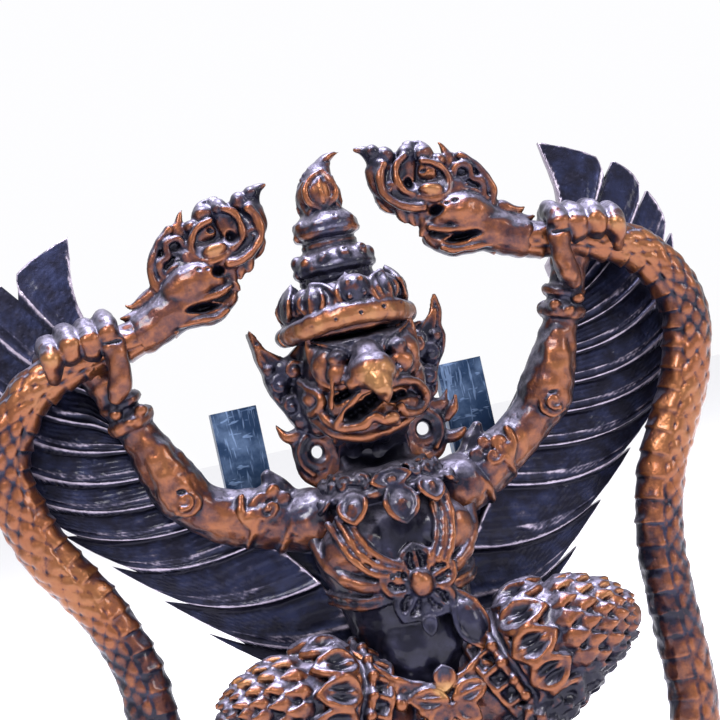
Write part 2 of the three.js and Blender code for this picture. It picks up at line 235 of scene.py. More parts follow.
@dataclass
class Wax:
    """Closed bodies in parts of the figure, pressed together until they are cast as one skin."""

    bm: bmesh.types.BMesh = field(default_factory=bmesh.new)
    presses: list[Press] = field(default_factory=list)
    rubs: list[Rub] = field(default_factory=list)
    aside: list[bpy.types.Mesh] = field(default_factory=list)

    @classmethod
    def worked(cls, *works: Callable[[Wax], None]) -> Wax:
        """New wax with each work done on it in turn."""
        wax = cls()
        for work in works:
            work(wax)
        return wax

    def clear_bench(self) -> None:
        """Sets finished bodies aside, because an operator's time grows with what lies beside its work."""
        if len(self.bm.verts) > BENCH:
            mesh = bpy.data.meshes.new("set_aside")
            self.bm.to_mesh(mesh)
            self.bm.clear()
            self.aside.append(mesh)

    def gather(self) -> None:
        """Brings all that was set aside back together."""
        for mesh in self.aside:
            self.bm.from_mesh(mesh)
            bpy.data.meshes.remove(mesh)
        self.aside.clear()

    def sheet(self, columns: int, rows: int, alone: bool = True) -> tuple[list, Array, Array]:
        """A flat grid to be warped.

        Args:
            columns: Faces along.
            rows: Faces across.
            alone: Whether it is made apart from what was made before.

        Returns:
            Its vertices, and their shares along and across from 0 to 1.
        """
        if alone:
            self.clear_bench()
        made = bmesh.ops.create_grid(self.bm, x_segments=columns, y_segments=rows, size=1.0)["verts"]
        flat = np.array([v.co for v in made])
        return made, (flat[:, 0] + 1) / 2, (flat[:, 1] + 1) / 2

    @staticmethod
    def put(verts: list, places: Array) -> None:
        """Moves vertices to places, one row for each."""
        for vert, place in zip(verts, places.tolist()):
            vert.co = place

    def ball(self, centre: Row, radii: Row, turn: Row = (0, 0, 0), facets: tuple[int, int] = (16, 10)) -> None:
        """Adds an egg.

        Args:
            centre: Its middle.
            radii: Its three half sizes.
            turn: How it is turned, in degrees about x, y and z.
            facets: Faces around and rows of them.
        """
        self.clear_bench()
        made = bmesh.ops.create_uvsphere(self.bm, u_segments=facets[0], v_segments=facets[1], radius=1.0)
        turned = Euler([math.radians(angle) for angle in turn]).to_matrix().to_4x4()
        place = Matrix.Translation(centre) @ turned @ Matrix.Diagonal((*radii, 1.0))
        bmesh.ops.transform(self.bm, matrix=place, verts=made["verts"])

    def rod(
        self, stations: Rows, sides: int = 10, steps: int = 4, facing: Row = FRONT, closed: bool = False,
    ) -> None:
        """Adds a round or flat rod along a smooth line.

        Args:
            stations: Rows of x, y, z, half width and, where it isn't round, half depth.
            sides: Faces around.
            steps: Faces from one station to the next.
            facing: The direction of the half depth.
            closed: Whether the rod is a ring.
        """
        stations = [list(row) + [row[3]] * (5 - len(row)) for row in stations]
        line = smooth_line(stations, steps, closed)
        points, wide, deep = line[:, :3], line[:, 3], line[:, 4]
        across, front = frames_along(points, facing)
        if closed:
            across[-1], front[-1] = across[0], front[0]
        else:
            start, end = unit(points[0] - points[1]), unit(points[-1] - points[-2])
            lead = np.array([points[0] + start * min(wide[0], deep[0]) * 0.8 * out for _, out in CAPS])
            tail = np.array([points[-1] + end * min(wide[-1], deep[-1]) * 0.8 * out for _, out in CAPS[::-1]])
            small = np.array([max(size, 1e-4) for size, _ in CAPS])
            points = np.vstack([lead, points, tail])
            wide, deep = (np.concatenate([w[0] * small, w, w[-1] * small[::-1]]) for w in (wide, deep))
            across, front = (np.vstack([d[:1].repeat(3, 0), d, d[-1:].repeat(3, 0)]) for d in (across, front))
        verts, u, v = self.sheet(len(points) - 1, sides)
        i = np.rint(u * (len(points) - 1)).astype(int)
        sideways, frontward = np.cos(TURN * v) * wide[i], np.sin(TURN * v) * deep[i]
        self.put(verts, points[i] + across[i] * sideways[:, None] + front[i] * frontward[:, None])
        bmesh.ops.remove_doubles(self.bm, verts=verts, dist=WELD)

    def rope(self, places: Rows, radius: float, **options: object) -> None:
        """Adds a rod of one radius, with the same options."""
        self.rod([(*place[:3], radius) for place in places], **{"sides": 8, **options})

    def turned(self, profile: Rows, centre: Row, depth: float = 1.0, sides: int = 40, steps: int = 3) -> None:
        """Adds a turned body round an upright axis.

        Args:
            profile: Rows of radius and height, from the axis back to the axis.
            centre: The axis, as x and y.
            depth: The share of the radius that it has front to back.
            sides: Faces around.
            steps: Places from one row of the profile to the next.
        """
        self.clear_bench()
        line = smooth_line(profile, steps)
        verts = [self.bm.verts.new((max(r, 0.0), 0.0, z)) for r, z in line]
        edges = [self.bm.edges.new(pair) for pair in zip(verts, verts[1:])]
        whole = {"cent": (0, 0, 0), "axis": (0, 0, 1), "angle": TURN, "use_merge": True}
        bmesh.ops.spin(self.bm, geom=verts + edges, steps=sides, **whole)
        made = self.linked(verts)
        bmesh.ops.remove_doubles(self.bm, verts=made, dist=WELD)
        place = Matrix.Translation((*centre, 0)) @ Matrix.Diagonal((1, depth, 1, 1))
        bmesh.ops.transform(self.bm, matrix=place, verts=[v for v in made if v.is_valid])

    @staticmethod
    def linked(start: list) -> list:
        """All the vertices that edges join to the given ones."""
        seen, todo = set(start), list(start)
        while todo:
            for edge in todo.pop().link_edges:
                for vert in edge.verts:
                    if vert not in seen:
                        seen.add(vert)
                        todo.append(vert)
        return list(seen)

    def plate(self, outline: Rows, back: float, front: float, dome: float = 0.0, steps: int = 3) -> None:
        """Adds a flat ornament cut from a smooth outline.

        Args:
            outline: Rows of x and z.
            back: The depth of its back.
            front: The depth of its front.
            dome: How far its middle stands further forward.
            steps: Places from one row of the outline to the next.
        """
        self.clear_bench()
        line = smooth_line(outline, steps, closed=True)[:-1]
        face = self.bm.faces.new([self.bm.verts.new((x, back, z)) for x, z in line])
        made = bmesh.ops.extrude_face_region(self.bm, geom=[face], use_keep_orig=True)["geom"]
        lid = [e for e in made if isinstance(e, bmesh.types.BMVert)]
        bmesh.ops.translate(self.bm, vec=(0, front - back, 0), verts=lid)
        if dome:
            top = [e for e in made if isinstance(e, bmesh.types.BMFace)]
            bmesh.ops.triangulate(self.bm, faces=top)
            middle = line.mean(0)
            self.ball((middle[0], front, middle[1]), (np.ptp(line[:, 0]) * 0.3, dome, np.ptp(line[:, 1]) * 0.3))

    def leaf(
        self, root: Row, tip: Row, width: float, facing: Row, rim: float = 0.35, thick: float = 0.5,
        bow: float = 0.0, rib: float = 0.0, belly: float = 0.45,
    ) -> None:
        """Adds a leaf or petal with a raised rim round a sunk middle.

        Args:
            root: Where it starts.
            tip: Where it ends in a point.
            width: Its greatest half width.
            facing: The direction that its face looks.
            rim: The rim's radius.
            thick: The half thickness of its middle.
            bow: How far its middle bows out along facing.
            rib: The radius of a rib down its middle, or 0 for none.
            belly: The share of its length at which it is widest.
        """
        a, b, out = np.array(root, float), np.array(tip, float), unit(np.array(facing, float))
        side = unit(np.cross(b - a, out))
        t = np.linspace(0, 1, 7)
        spread = np.sin(np.pi * t ** (math.log(0.5) / math.log(belly))) ** 0.8 * width
        middle = a + (b - a) * t[:, None] + out * (np.sin(np.pi * t) * bow)[:, None]
        self.rod([(*p, max(w, 0.1), thick) for p, w in zip(middle, spread)], steps=1, facing=out)
        for sign in (-1, 1):
            self.rope(middle + side * (sign * spread)[:, None] + out * thick * 0.7, rim, sides=6, steps=2)
        if rib:
            self.rope(middle[:-1] + out * thick, rib, sides=6, steps=2)

    def curl(
        self, centre: Row, reach: float, thick: float, turns: float = 1.25, start: float = 0.0, hand: int = 1,
        facing: Row = FRONT, rise: float = 0.4,
    ) -> None:
        """Adds a spiral that winds in to its middle.

        Args:
            centre: The spiral's middle.
            reach: Its radius at the open end.
            thick: The rod's radius there.
            turns: How many turns it makes.
            start: The direction of the open end, in degrees.
            hand: 1 or -1, the way that it winds.
            facing: The direction that it looks.
            rise: How far its middle stands out along facing.
        """
        out = unit(np.array(facing, float))
        up = np.array([0.0, 0.0, 1.0]) if abs(out[2]) < 0.9 else np.array([0.0, 1.0, 0.0])
        right = unit(np.cross(out, up))
        up = np.cross(right, out)
        t = np.linspace(0, 1, int(8 * turns) + 2)
        angle = math.radians(start) + hand * TURN * turns * t
        radius = reach * (1 - t) ** 0.8
        sideways, upward = np.cos(angle) * radius, np.sin(angle) * radius
        lifted = out * (t * rise)[:, None]
        places = np.array(centre, float) + right * sideways[:, None] + up * upward[:, None] + lifted
        sizes = thick * (1 - 0.45 * t)
        sizes[-1] = thick * 0.8
        self.rod([(*p, s) for p, s in zip(places, sizes)], sides=7, steps=1, facing=out)

    def beads(self, places: Rows, radius: float, count: int) -> None:
        """Adds a string of beads.

        Args:
            places: Rows of x, y and z that the string runs through.
            radius: The beads' radius.
            count: How many there are.
        """
        line = smooth_line(places, 12)
        length = lengths_along(line)
        for centre in looked_up(np.linspace(0, length[-1], count), length, line).tolist():
            self.ball(centre, (radius, radius, radius), facets=(8, 6))

    def press(self, centre: Row, radii: Row, shift: Row, grime_and_shade: float = 0.7) -> None:
        """Notes a place to be pressed in or drawn out once the skin is cast, and how far it is darkened with patina and
        painted shade.
        """
        self.presses.append(Press(centre, radii, shift, grime_and_shade))

    def rub(self, centre: Row, radius: float, amount: float) -> None:
        """Notes a place that is rubbed bright."""
        self.rubs.append(Rub(centre, radius, amount))

    def rubbed(self, *rows: tuple[Row, float, float]) -> None:
        """Notes several places that are rubbed bright."""
        for row in rows:
            self.rub(*row)

    def twin(self) -> None:
        """Adds the other side's copy of all that was made so far."""
        self.gather()
        whole = self.bm.verts[:] + self.bm.edges[:] + self.bm.faces[:]
        made = bmesh.ops.duplicate(self.bm, geom=whole)["geom"]
        verts = [e for e in made if isinstance(e, bmesh.types.BMVert)]
        faces = [e for e in made if isinstance(e, bmesh.types.BMFace)]
        bmesh.ops.scale(self.bm, vec=(-1, 1, 1), verts=verts)
        bmesh.ops.reverse_faces(self.bm, faces=faces)
        self.presses += [one.mirrored() for one in self.presses]
        self.rubs += [one.mirrored() for one in self.rubs]

    def mirror(self) -> None:
        """Turns all that was made so far into the other side's copy."""
        self.gather()
        bmesh.ops.scale(self.bm, vec=(-1, 1, 1), verts=self.bm.verts[:])
        self.presses = [one.mirrored() for one in self.presses]
        self.rubs = [one.mirrored() for one in self.rubs]

    def lean(self, low: float, high: float, outward: bool = False) -> None:
        """Moves what lies on the left with the left hand.

        Args:
            low: The height up to which nothing moves.
            high: The height from which all of it moves with the hand.
            outward: Whether both are measured outwards from the middle instead.
        """

        def moved(place: Row) -> list[float]:
            """A place with its share of the hand's shift."""
            share = float(smoothstep(low, high, np.array(-place[0] if outward else place[2])))
            return [a + b * share * (place[0] < 0) for a, b in zip(place, LEFT_HAND)]

        self.gather()
        for vert in self.bm.verts:
            vert.co = moved(vert.co)
        for one in self.presses + self.rubs:
            one.centre = moved(one.centre)

    def object(self, name: str) -> Piece:
        """The wax as an object of its own, with its faces turned outwards."""
        self.gather()
        bmesh.ops.recalc_face_normals(self.bm, faces=self.bm.faces[:])
        mesh = bpy.data.meshes.new(name)
        self.bm.to_mesh(mesh)
        self.bm.free()
        piece = bpy.data.objects.new(name, mesh)
        bpy.context.scene.collection.objects.link(piece)
        return piece


def settle(piece: Piece) -> None:
    """Applies a piece's modifiers to its mesh."""
    graph = bpy.context.evaluated_depsgraph_get()
    mesh = bpy.data.meshes.new_from_object(piece.evaluated_get(graph))
    piece.modifiers.clear()
    old, piece.data = piece.data, mesh
    bpy.data.meshes.remove(old)
    mesh.name = piece.name


@dataclass(frozen=True)
class Weights:
    """How much each trait of a surface counts towards its wear or towards its grime and painted shade."""

    start: float = 0.0
    front: float = 0.0  # faces that look ahead
    top: float = 0.0  # faces that look up
    fine: float = 0.0  # what stands out by about a vertex
    wide: float = 0.0  # what stands out by about a moulding
    broad: float = 0.0  # what stands out by about a limb
    grime_and_shade: float = 0.0
    # pebble also carries the painted highlight along the wing feathers.
    pebble: float = 0.0  # what the modelling itself marked as rubbed
    rub: float = 0.0


# The top weight keeps faces that look up out of the copper: a painted difference of light from above, not wear.
WORN = Weights(start=-0.08, front=0.62, top=-0.62, fine=0.8, wide=0.75, broad=0.2, grime_and_shade=-0.6, pebble=0.8, rub=0.8)
# Darkened: hollows and noted presses, which take patina and painted shade that stands in for occlusion.
DARKENED = Weights(start=0.1, wide=-0.9, fine=-0.5, broad=-0.25, grime_and_shade=1.0)


@dataclass
class Skin:
    """A cast piece's surface, while it is chased, worn and darkened."""

    piece: Piece
    places: Array = field(init=False)
    normals: Array = field(init=False)
    pairs: Array = field(init=False)
    grime_and_shade: Array = field(init=False)

    def __post_init__(self) -> None:
        """Reads the mesh."""
        self.read()
        self.grime_and_shade = np.zeros(len(self.places))

    @staticmethod
    def rows(source: bpy.types.bpy_prop_collection, key: str, width: int, kind: type) -> Array:
        """One property of a mesh's elements, as rows of numbers."""
        values = np.empty(len(source) * width, kind)
        source.foreach_get(key, values)
        return values.reshape(-1, width)

    def read(self) -> None:
        """Reads the mesh's places, normals and edges."""
        mesh = self.piece.data
        self.places = self.rows(mesh.vertices, "co", 3, np.float32).astype(float)
        self.normals = self.rows(mesh.vertex_normals, "vector", 3, np.float32).astype(float)
        self.pairs = self.rows(mesh.edges, "vertices", 2, np.int32)

    def write(self) -> None:
        """Puts the places back in the mesh."""
        self.piece.data.vertices.foreach_set("co", self.places.astype(np.float32).ravel())
        self.piece.data.update()
        self.read()

    def relaxed(self, values: Array, times: int) -> Array:
        """Values evened out over neighbours.

        Args:
            values: A column or rows, one for each vertex.
            times: How often each takes its neighbours' mean.

        Returns:
            The evened values.
        """
        a, b = self.pairs.T
        count = len(self.places)
        degree = np.maximum(np.bincount(a, minlength=count) + np.bincount(b, minlength=count), 1)
        rows = values.reshape(count, -1).astype(float)
        for _ in range(times):
            mean = np.empty_like(rows)
            for k in range(rows.shape[1]):
                total = np.bincount(a, rows[b, k], count) + np.bincount(b, rows[a, k], count)
                mean[:, k] = total / degree
            rows = (1 - EASE) * rows + EASE * mean
        return rows.reshape(values.shape)

    def apply(self, presses: Iterable[Press]) -> None:
        """Presses the wax at the noted places, and darkens them with patina and painted shade."""
        for one in presses:
            reach = np.linalg.norm((self.places - one.centre) / np.array(one.radii), axis=1)
            share = smoothstep(0.0, 0.75, 1.0 - reach)
            self.places += share[:, None] * np.array(one.shift)
            self.grime_and_shade = np.maximum(self.grime_and_shade, share * one.grime_and_shade)
        self.write()

    def crumple(self, size: float, amount: float, seed: float) -> None:
        """Makes the skin uneven, as casting does.

        Args:
            size: How large the lumps are, in parts.
            amount: How far they stand out, in parts.
            seed: Moves the pattern.
        """
        shift = Vector((seed, 1.7 * seed, -seed))
        lumps = np.array([noise.noise(Vector(p) / size + shift) for p in self.places.tolist()])
        self.places += self.normals * (lumps * amount)[:, None]
        self.write()

    def wear(self, grain: float, rubs: Iterable[Rub], bias: float = 0.0) -> None:
        """Works out where the skin is rubbed bright, where it stays dark with patina and painted shade, and where faces
        that look up take a painted sheen, and keeps these on the mesh.

        Args:
            grain: The mean distance between neighbouring vertices, in parts.
            rubs: The places that are rubbed more or less than others.
            bias: How much more the whole piece is rubbed.
        """
        near, wide_from = (self.relaxed(self.places, times) for times in ROUNDS[:2])
        broad_from = self.relaxed(wide_from, ROUNDS[2])
        raised = [((self.places - even) * self.normals).sum(1) for even in (near, wide_from, broad_from)]
        fine, wide, broad = raised[0] / grain, raised[1], raised[2]
        ahead, up = -self.normals[:, 1], self.normals[:, 2]
        front = np.maximum(smoothstep(-0.15, 0.8, ahead), 0.6 * smoothstep(0.2, 0.9, -ahead))
        # Faces that look up: painted light from above, kept out of the wear and given a painted pale sheen.
        top = smoothstep(0.15, 0.85, up)
        w, d = WORN, DARKENED
        rubbed = bias + w.start + w.front * front + w.top * top + w.fine * fine + w.wide * wide + w.broad * broad
        rubbed = rubbed + w.grime_and_shade * self.grime_and_shade + w.pebble * self.layer("pebble")
        gilt = np.zeros(len(self.places))
        for one in rubs:
            share = smoothstep(0.0, 0.6, 1.0 - np.linalg.norm(self.places - one.centre, axis=1) / one.radius)
            gilt = gilt + share * one.amount
        rubbed = rubbed + np.minimum(gilt, 0) + w.rub * np.maximum(gilt, 0)
        # Hollows and the noted presses darken: patina and painted shade.
        dark = d.start + d.wide * wide + d.fine * fine + d.broad * broad + d.grime_and_shade * self.grime_and_shade
        # Faces that look up take a painted pale sheen, a reflection of the light above, except in hollows.
        self.keep("painted_top_sheen", top * np.clip(1.1 - dark, 0, 1))
        self.keep("wear", np.clip(rubbed, 0, 1))
        self.keep("gilt", np.clip(gilt, -1, 1))
        self.keep("grime_and_shade", np.clip(dark, 0, 1))

    def layer(self, name: str) -> Array:
        """An attribute that the modelling left on the mesh, or noughts."""
        values = np.zeros(len(self.places), np.float32)
        attribute = self.piece.data.attributes.get(name)
        if attribute is not None:
            attribute.data.foreach_get("value", values)
        return values.astype(float)

    def keep(self, name: str, values: Array) -> None:
        """Keeps one value for each vertex on the mesh."""
        attribute = self.piece.data.attributes.new(name, "FLOAT", "POINT")
        attribute.data.foreach_set("value", values.astype(np.float32))

    def finish(self, limit: int, floor: float) -> None:
        """Thins the mesh to a limit of triangles, and puts it in place in metres.

        Args:
            limit: The most triangles that it may have.
            floor: The height that it is cut flat at, in parts.
        """
        self.piece.data.calc_loop_triangles()
        count = len(self.piece.data.loop_triangles)
        if count > limit:
            thin = self.piece.modifiers.new("thin", "DECIMATE")
            thin.ratio = limit / count
            settle(self.piece)
            self.read()
        self.places[:, 2] = np.maximum(self.places[:, 2], floor)
        metres = self.places * PART + np.array([0.0, 0.0, PLINTH_TOP])
        self.piece.data.vertices.foreach_set("co", metres.astype(np.float32).ravel())
        self.piece.data.polygons.foreach_set("use_smooth", [True] * len(self.piece.data.polygons))
        self.piece.data.update()


@dataclass(frozen=True)
class Casting:
    """How finely a piece is cast, and how worn it is."""

    grain: float = 0.24  # parts between neighbouring vertices
    limit: int = 100_000  # triangles
    bias: float = 0.0
    seed: float = 1.0
    lumps: float = 0.1  # parts that they stand out
    lump_size: float = 1.6  # parts
    floor: float = 0.0  # parts: nothing reaches below it

    def cast(self, wax: Wax, name: str, skinned: bool = True) -> Piece:
        """Casts wax as one skin.

        Args:
            wax: The bodies, pressed together.
            name: The piece's name.
            skinned: Whether the bodies are melted into one; otherwise the surface stays as it was modelled.

        Returns:
            The finished piece, in metres.
        """
        piece = wax.object(name)
        grain = self.grain * (QUICK_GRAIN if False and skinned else 1.0)
        if skinned:
            remesh = piece.modifiers.new("skin", "REMESH")
            remesh.mode = "VOXEL"
            remesh.voxel_size = grain
            even = piece.modifiers.new("even", "SMOOTH")
            even.factor = 0.5
            even.iterations = 2
            settle(piece)
        skin = Skin(piece)
        skin.apply(wax.presses)
        skin.crumple(self.lump_size, self.lumps, self.seed)
        skin.wear(grain, wax.rubs, self.bias)
        skin.finish(self.limit, self.floor)
        return piece


# Finishes


class Nodes:
    """A material's node tree, with the few nodes that the finishes share."""

    def __init__(self, name: str) -> None:
        """Starts a material with one shader."""
        self.material = bpy.data.materials.new(name)
        self.material.use_nodes = True
        self.tree = self.material.node_tree
        self.tree.nodes.clear()
        self.shader = self.node("BsdfPrincipled")
        output = self.node("OutputMaterial")
        self.tree.links.new(self.shader.outputs[0], output.inputs[0])
        self.place = self.node("TexCoord").outputs["Object"]

    def node(self, kind: str) -> bpy.types.Node:
        """Adds a node."""
        return self.tree.nodes.new("ShaderNode" + kind)

    def feed(self, socket: Socket, value: object) -> None:
        """Sets a socket to a value, or links it to another socket."""
        if isinstance(value, Socket):
            self.tree.links.new(value, socket)
        else:
            socket.default_value = value

    def shade(self, name: str, value: object) -> None:
        """Sets or links one of the shader's sockets."""
        self.feed(self.shader.inputs[name], value)

    def attribute(self, name: str) -> Socket:
        """One of the piece's own attributes."""
        node = self.node("Attribute")
        node.attribute_name = name
        return node.outputs["Fac"]

    def noise(self, size: float, detail: float = 3.0, rough: float = 0.55, stretch: Row = (1, 1, 1)) -> Socket:
        """Cloudy noise.

        Args:
            size: The size of its clouds, in metres.
            detail: How many finer layers it has.
            rough: How strong those are.
            stretch: The share of its frequency along each axis.

        Returns:
            Its value.
        """
        mapping = self.node("Mapping")
        self.feed(mapping.inputs["Vector"], self.place)
        mapping.inputs["Scale"].default_value = [share / size for share in stretch]
        node = self.node("TexNoise")
        self.feed(node.inputs["Vector"], mapping.outputs[0])
        node.inputs["Scale"].default_value = 1.0
        node.inputs["Detail"].default_value = detail
        node.inputs["Roughness"].default_value = rough
        return node.outputs["Fac"]

    def pits(self, size: float) -> Socket:
        """The distance to scattered points.

        Args:
            size: The mean distance between them, in metres.

        Returns:
            The distance as a share of that size.
        """
        node = self.node("TexVoronoi")
        self.feed(node.inputs["Vector"], self.place)
        node.inputs["Scale"].default_value = 1.0 / size
        return node.outputs["Distance"]

    def maths(self, work: str, *values: object) -> Socket:
        """A sum, product or other simple reckoning."""
        node = self.node("Math")
        node.operation = work
        for socket, value in zip(node.inputs, values):
            self.feed(socket, value)
        return node.outputs[0]

    def spread(self, value: object, low: float, high: float, start: float = 0.0, end: float = 1.0) -> Socket:
        """A value eased from one range to another."""
        node = self.node("MapRange")
        node.interpolation_type = "SMOOTHSTEP"
        for socket, given in zip(node.inputs, (value, low, high, start, end)):
            self.feed(socket, given)
        return node.outputs[0]

    def mix(self, share: object, first: object, second: object) -> Socket:
        """A colour between two."""
        node = self.node("Mix")
        node.data_type = "RGBA"
        self.feed(node.inputs[0], share)
        self.feed(node.inputs[6], (*first, 1.0) if isinstance(first, tuple) else first)
        self.feed(node.inputs[7], (*second, 1.0) if isinstance(second, tuple) else second)
        return node.outputs[2]

    def bump(self, height: object, depth: float, before: object = None) -> Socket:
        """Fine relief.

        Args:
            height: Its height from 0 to 1.
            depth: What 1 stands for, in metres.
            before: The relief that it is added to.

        Returns:
            The normal.
        """
        node = self.node("Bump")
        self.feed(node.inputs["Height"], height)
        node.inputs["Distance"].default_value = depth
        if before is not None:
            self.feed(node.inputs["Normal"], before)
        return node.outputs[0]


@dataclass(frozen=True)
class PatinatedBronze:
    """Cast bronze, dark in its hollows with patina and painted shade, rubbed to copper on its faces and to gold where
    it is handled, and given a painted pale sheen on faces that look up.
    """

    name: str = "patinated_bronze"
    pitch: Tint = (0.003, 0.003, 0.010)
    slate: Tint = (0.015, 0.015, 0.034)
    umber: Tint = (0.050, 0.017, 0.016)
    copper: Tint = (0.150, 0.050, 0.019)
    gold: Tint = (0.32, 0.19, 0.075)
    # The painted sheen: a pale reflection of light from above, painted on faces that look up.
    painted_sheen_tint: Tint = (0.15, 0.14, 0.19)
    metallic: float = 0.88
    coat: float = 0.26
    gloss: float = 0.14  # the coat's roughness
    shown: float = 0.0  # how much more copper shows than the wear gives
    cloud: float = 0.0011  # metres
    grain: float = 0.00028  # metres
    pits: float = 0.00042  # metres from one to the next

    def material(self) -> bpy.types.Material:
        """Makes the material."""
        n = Nodes(self.name)
        cloud, grain, speck = n.noise(self.cloud, 4), n.noise(self.grain, 3, 0.6), n.pits(self.pits)
        worn = n.maths("ADD", n.attribute("wear"), n.maths("MULTIPLY_ADD", cloud, 0.9, -0.47 + self.shown))
        worn = n.maths("ADD", worn, n.maths("MULTIPLY_ADD", grain, 0.5, -0.25))
        grime_and_shade, gilt = n.attribute("grime_and_shade"), n.attribute("gilt")
        ground = n.mix(n.spread(cloud, 0.35, 0.7), self.pitch, self.slate)
        # Painted sheen on faces that look up, broken by the grain.
        painted_top_sheen = n.maths("MULTIPLY", n.attribute("painted_top_sheen"), n.spread(grain, 0.3, 0.6, 0.35, 1.0))
        ground = n.mix(painted_top_sheen, ground, self.painted_sheen_tint)
        colour = n.mix(n.spread(worn, 0.26, 0.52), ground, self.umber)
        colour = n.mix(n.spread(worn, 0.44, 0.94), colour, self.copper)
        bright = n.maths("ADD", gilt, n.maths("MULTIPLY_ADD", worn, 0.3, -0.45))
        colour = n.mix(n.spread(bright, 0.0, 0.8), colour, self.gold)
        # Hollows go to pitch: patina and painted shade.
        colour = n.mix(n.spread(grime_and_shade, 0.3, 0.95), colour, self.pitch)
        n.shade("Base Color", colour)
        n.shade("Metallic", self.metallic)
        smooth = n.maths("ADD", worn, n.maths("MULTIPLY", grain, 0.4))
        n.shade("Roughness", n.spread(smooth, 0.1, 1.3, 0.52, 0.36))
        n.shade("Coat Weight", self.coat)
        n.shade("Coat Roughness", self.gloss)
        n.shade("Normal", n.bump(grain, 0.00003, n.bump(n.spread(speck, 0.05, 0.3), 0.000014)))
        return n.material


DULL = PatinatedBronze(name="dark_bronze", shown=-0.12)
# Its copper tint is the pale colour of worn ridges and of the painted highlights along the feathers.
BLACKENED = PatinatedBronze(
    name="blackened_bronze", slate=(0.009, 0.012, 0.036), umber=(0.018, 0.018, 0.036),
    copper=(0.30, 0.26, 0.33), gold=(0.4, 0.34, 0.36), painted_sheen_tint=(0.02, 0.02, 0.04), coat=0.12,
)


@dataclass(frozen=True)
class ScratchedSteel:
    """Blued sheet steel, scratched every way."""

    name: str = "scratched_blue_steel"
    deep: Tint = (0.012, 0.030, 0.072)
    worn: Tint = (0.17, 0.25, 0.40)
    metallic: float = 0.85

    def material(self) -> bpy.types.Material:
        """Makes the material."""
        n = Nodes(self.name)
        cloud = n.noise(0.0016, 4)
        fine = n.noise(0.00022, 2, 0.7, stretch=(1.0, 1.0, 0.12))
        cross = n.noise(0.00030, 2, 0.7, stretch=(0.25, 1.0, 0.9))
        marks = n.maths("MAXIMUM", n.spread(fine, 0.56, 0.66), n.spread(cross, 0.6, 0.68))
        share = n.maths("ADD", n.maths("MULTIPLY", marks, 0.55), n.spread(cloud, 0.4, 0.75, 0.0, 0.5))
        n.shade("Base Color", n.mix(share, self.deep, self.worn))
        n.shade("Metallic", self.metallic)
        n.shade("Roughness", n.spread(share, 0.0, 1.0, 0.34, 0.5))
        n.shade("Normal", n.bump(marks, 0.00001, n.bump(cloud, 0.00004)))
        return n.material


@dataclass(frozen=True)
class PalePaper:
    """The plain pale floor."""

    name: str = "pale_paper"
    tint: tuple[float, float, float, float] = (0.9, 0.9, 0.92, 1.0)

    def material(self) -> bpy.types.Material:
        """Makes the material."""
        n = Nodes(self.name)
        n.shade("Base Color", self.tint)
        n.shade("Roughness", 0.9)
        return n.material


# The figure's sub-assemblies, in parts


@dataclass(frozen=True)
class Assembly:
    """A sub-assembly that is modelled in wax, cast as one piece and dressed."""

    label = ""
    stands_for = "garuda"
    slot = Slot.BRONZE
    skinned = True
    casting: Casting = Casting()

    def model(self, side: int) -> Wax:
        """Models it in wax, on one side of the picture where it has a side."""
        raise NotImplementedError

    def build(self, side: int = 0) -> Piece:
        """Models and casts it.

        Args:
            side: 1 for the right of the picture, -1 for the left, or 0 where it has no side.

        Returns:
            The piece.
        """
        return self.casting.cast(self.model(side), sided(self.label, side), self.skinned)

    def dress(self, piece: Piece, material: bpy.types.Material) -> None:
        """Gives a piece its finish and its place in the frame.

        Args:
            piece: The piece.
            material: Its finish.
        """
        piece.data.materials.clear()
        piece.data.materials.append(material)
        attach(piece, ROOT)
        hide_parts(self.stands_for)
        LOG.info("%s: %d faces", piece.name, len(piece.data.polygons))


def round_places(count: int, spread: float, start: float = 0.0) -> list[tuple[float, float]]:
    """Places on a round, as their sideways and frontward shares.

    Args:
        count: How many there are.
        spread: The degrees from the front to the first and the last.
        start: Turns them all.

    Returns:
        The sine and cosine of each, 0 and 1 being the front.
    """
    turns = [math.radians(start + spread * (2 * i / max(count - 1, 1) - 1)) for i in range(count)]
    return [(math.sin(turn), math.cos(turn)) for turn in turns]


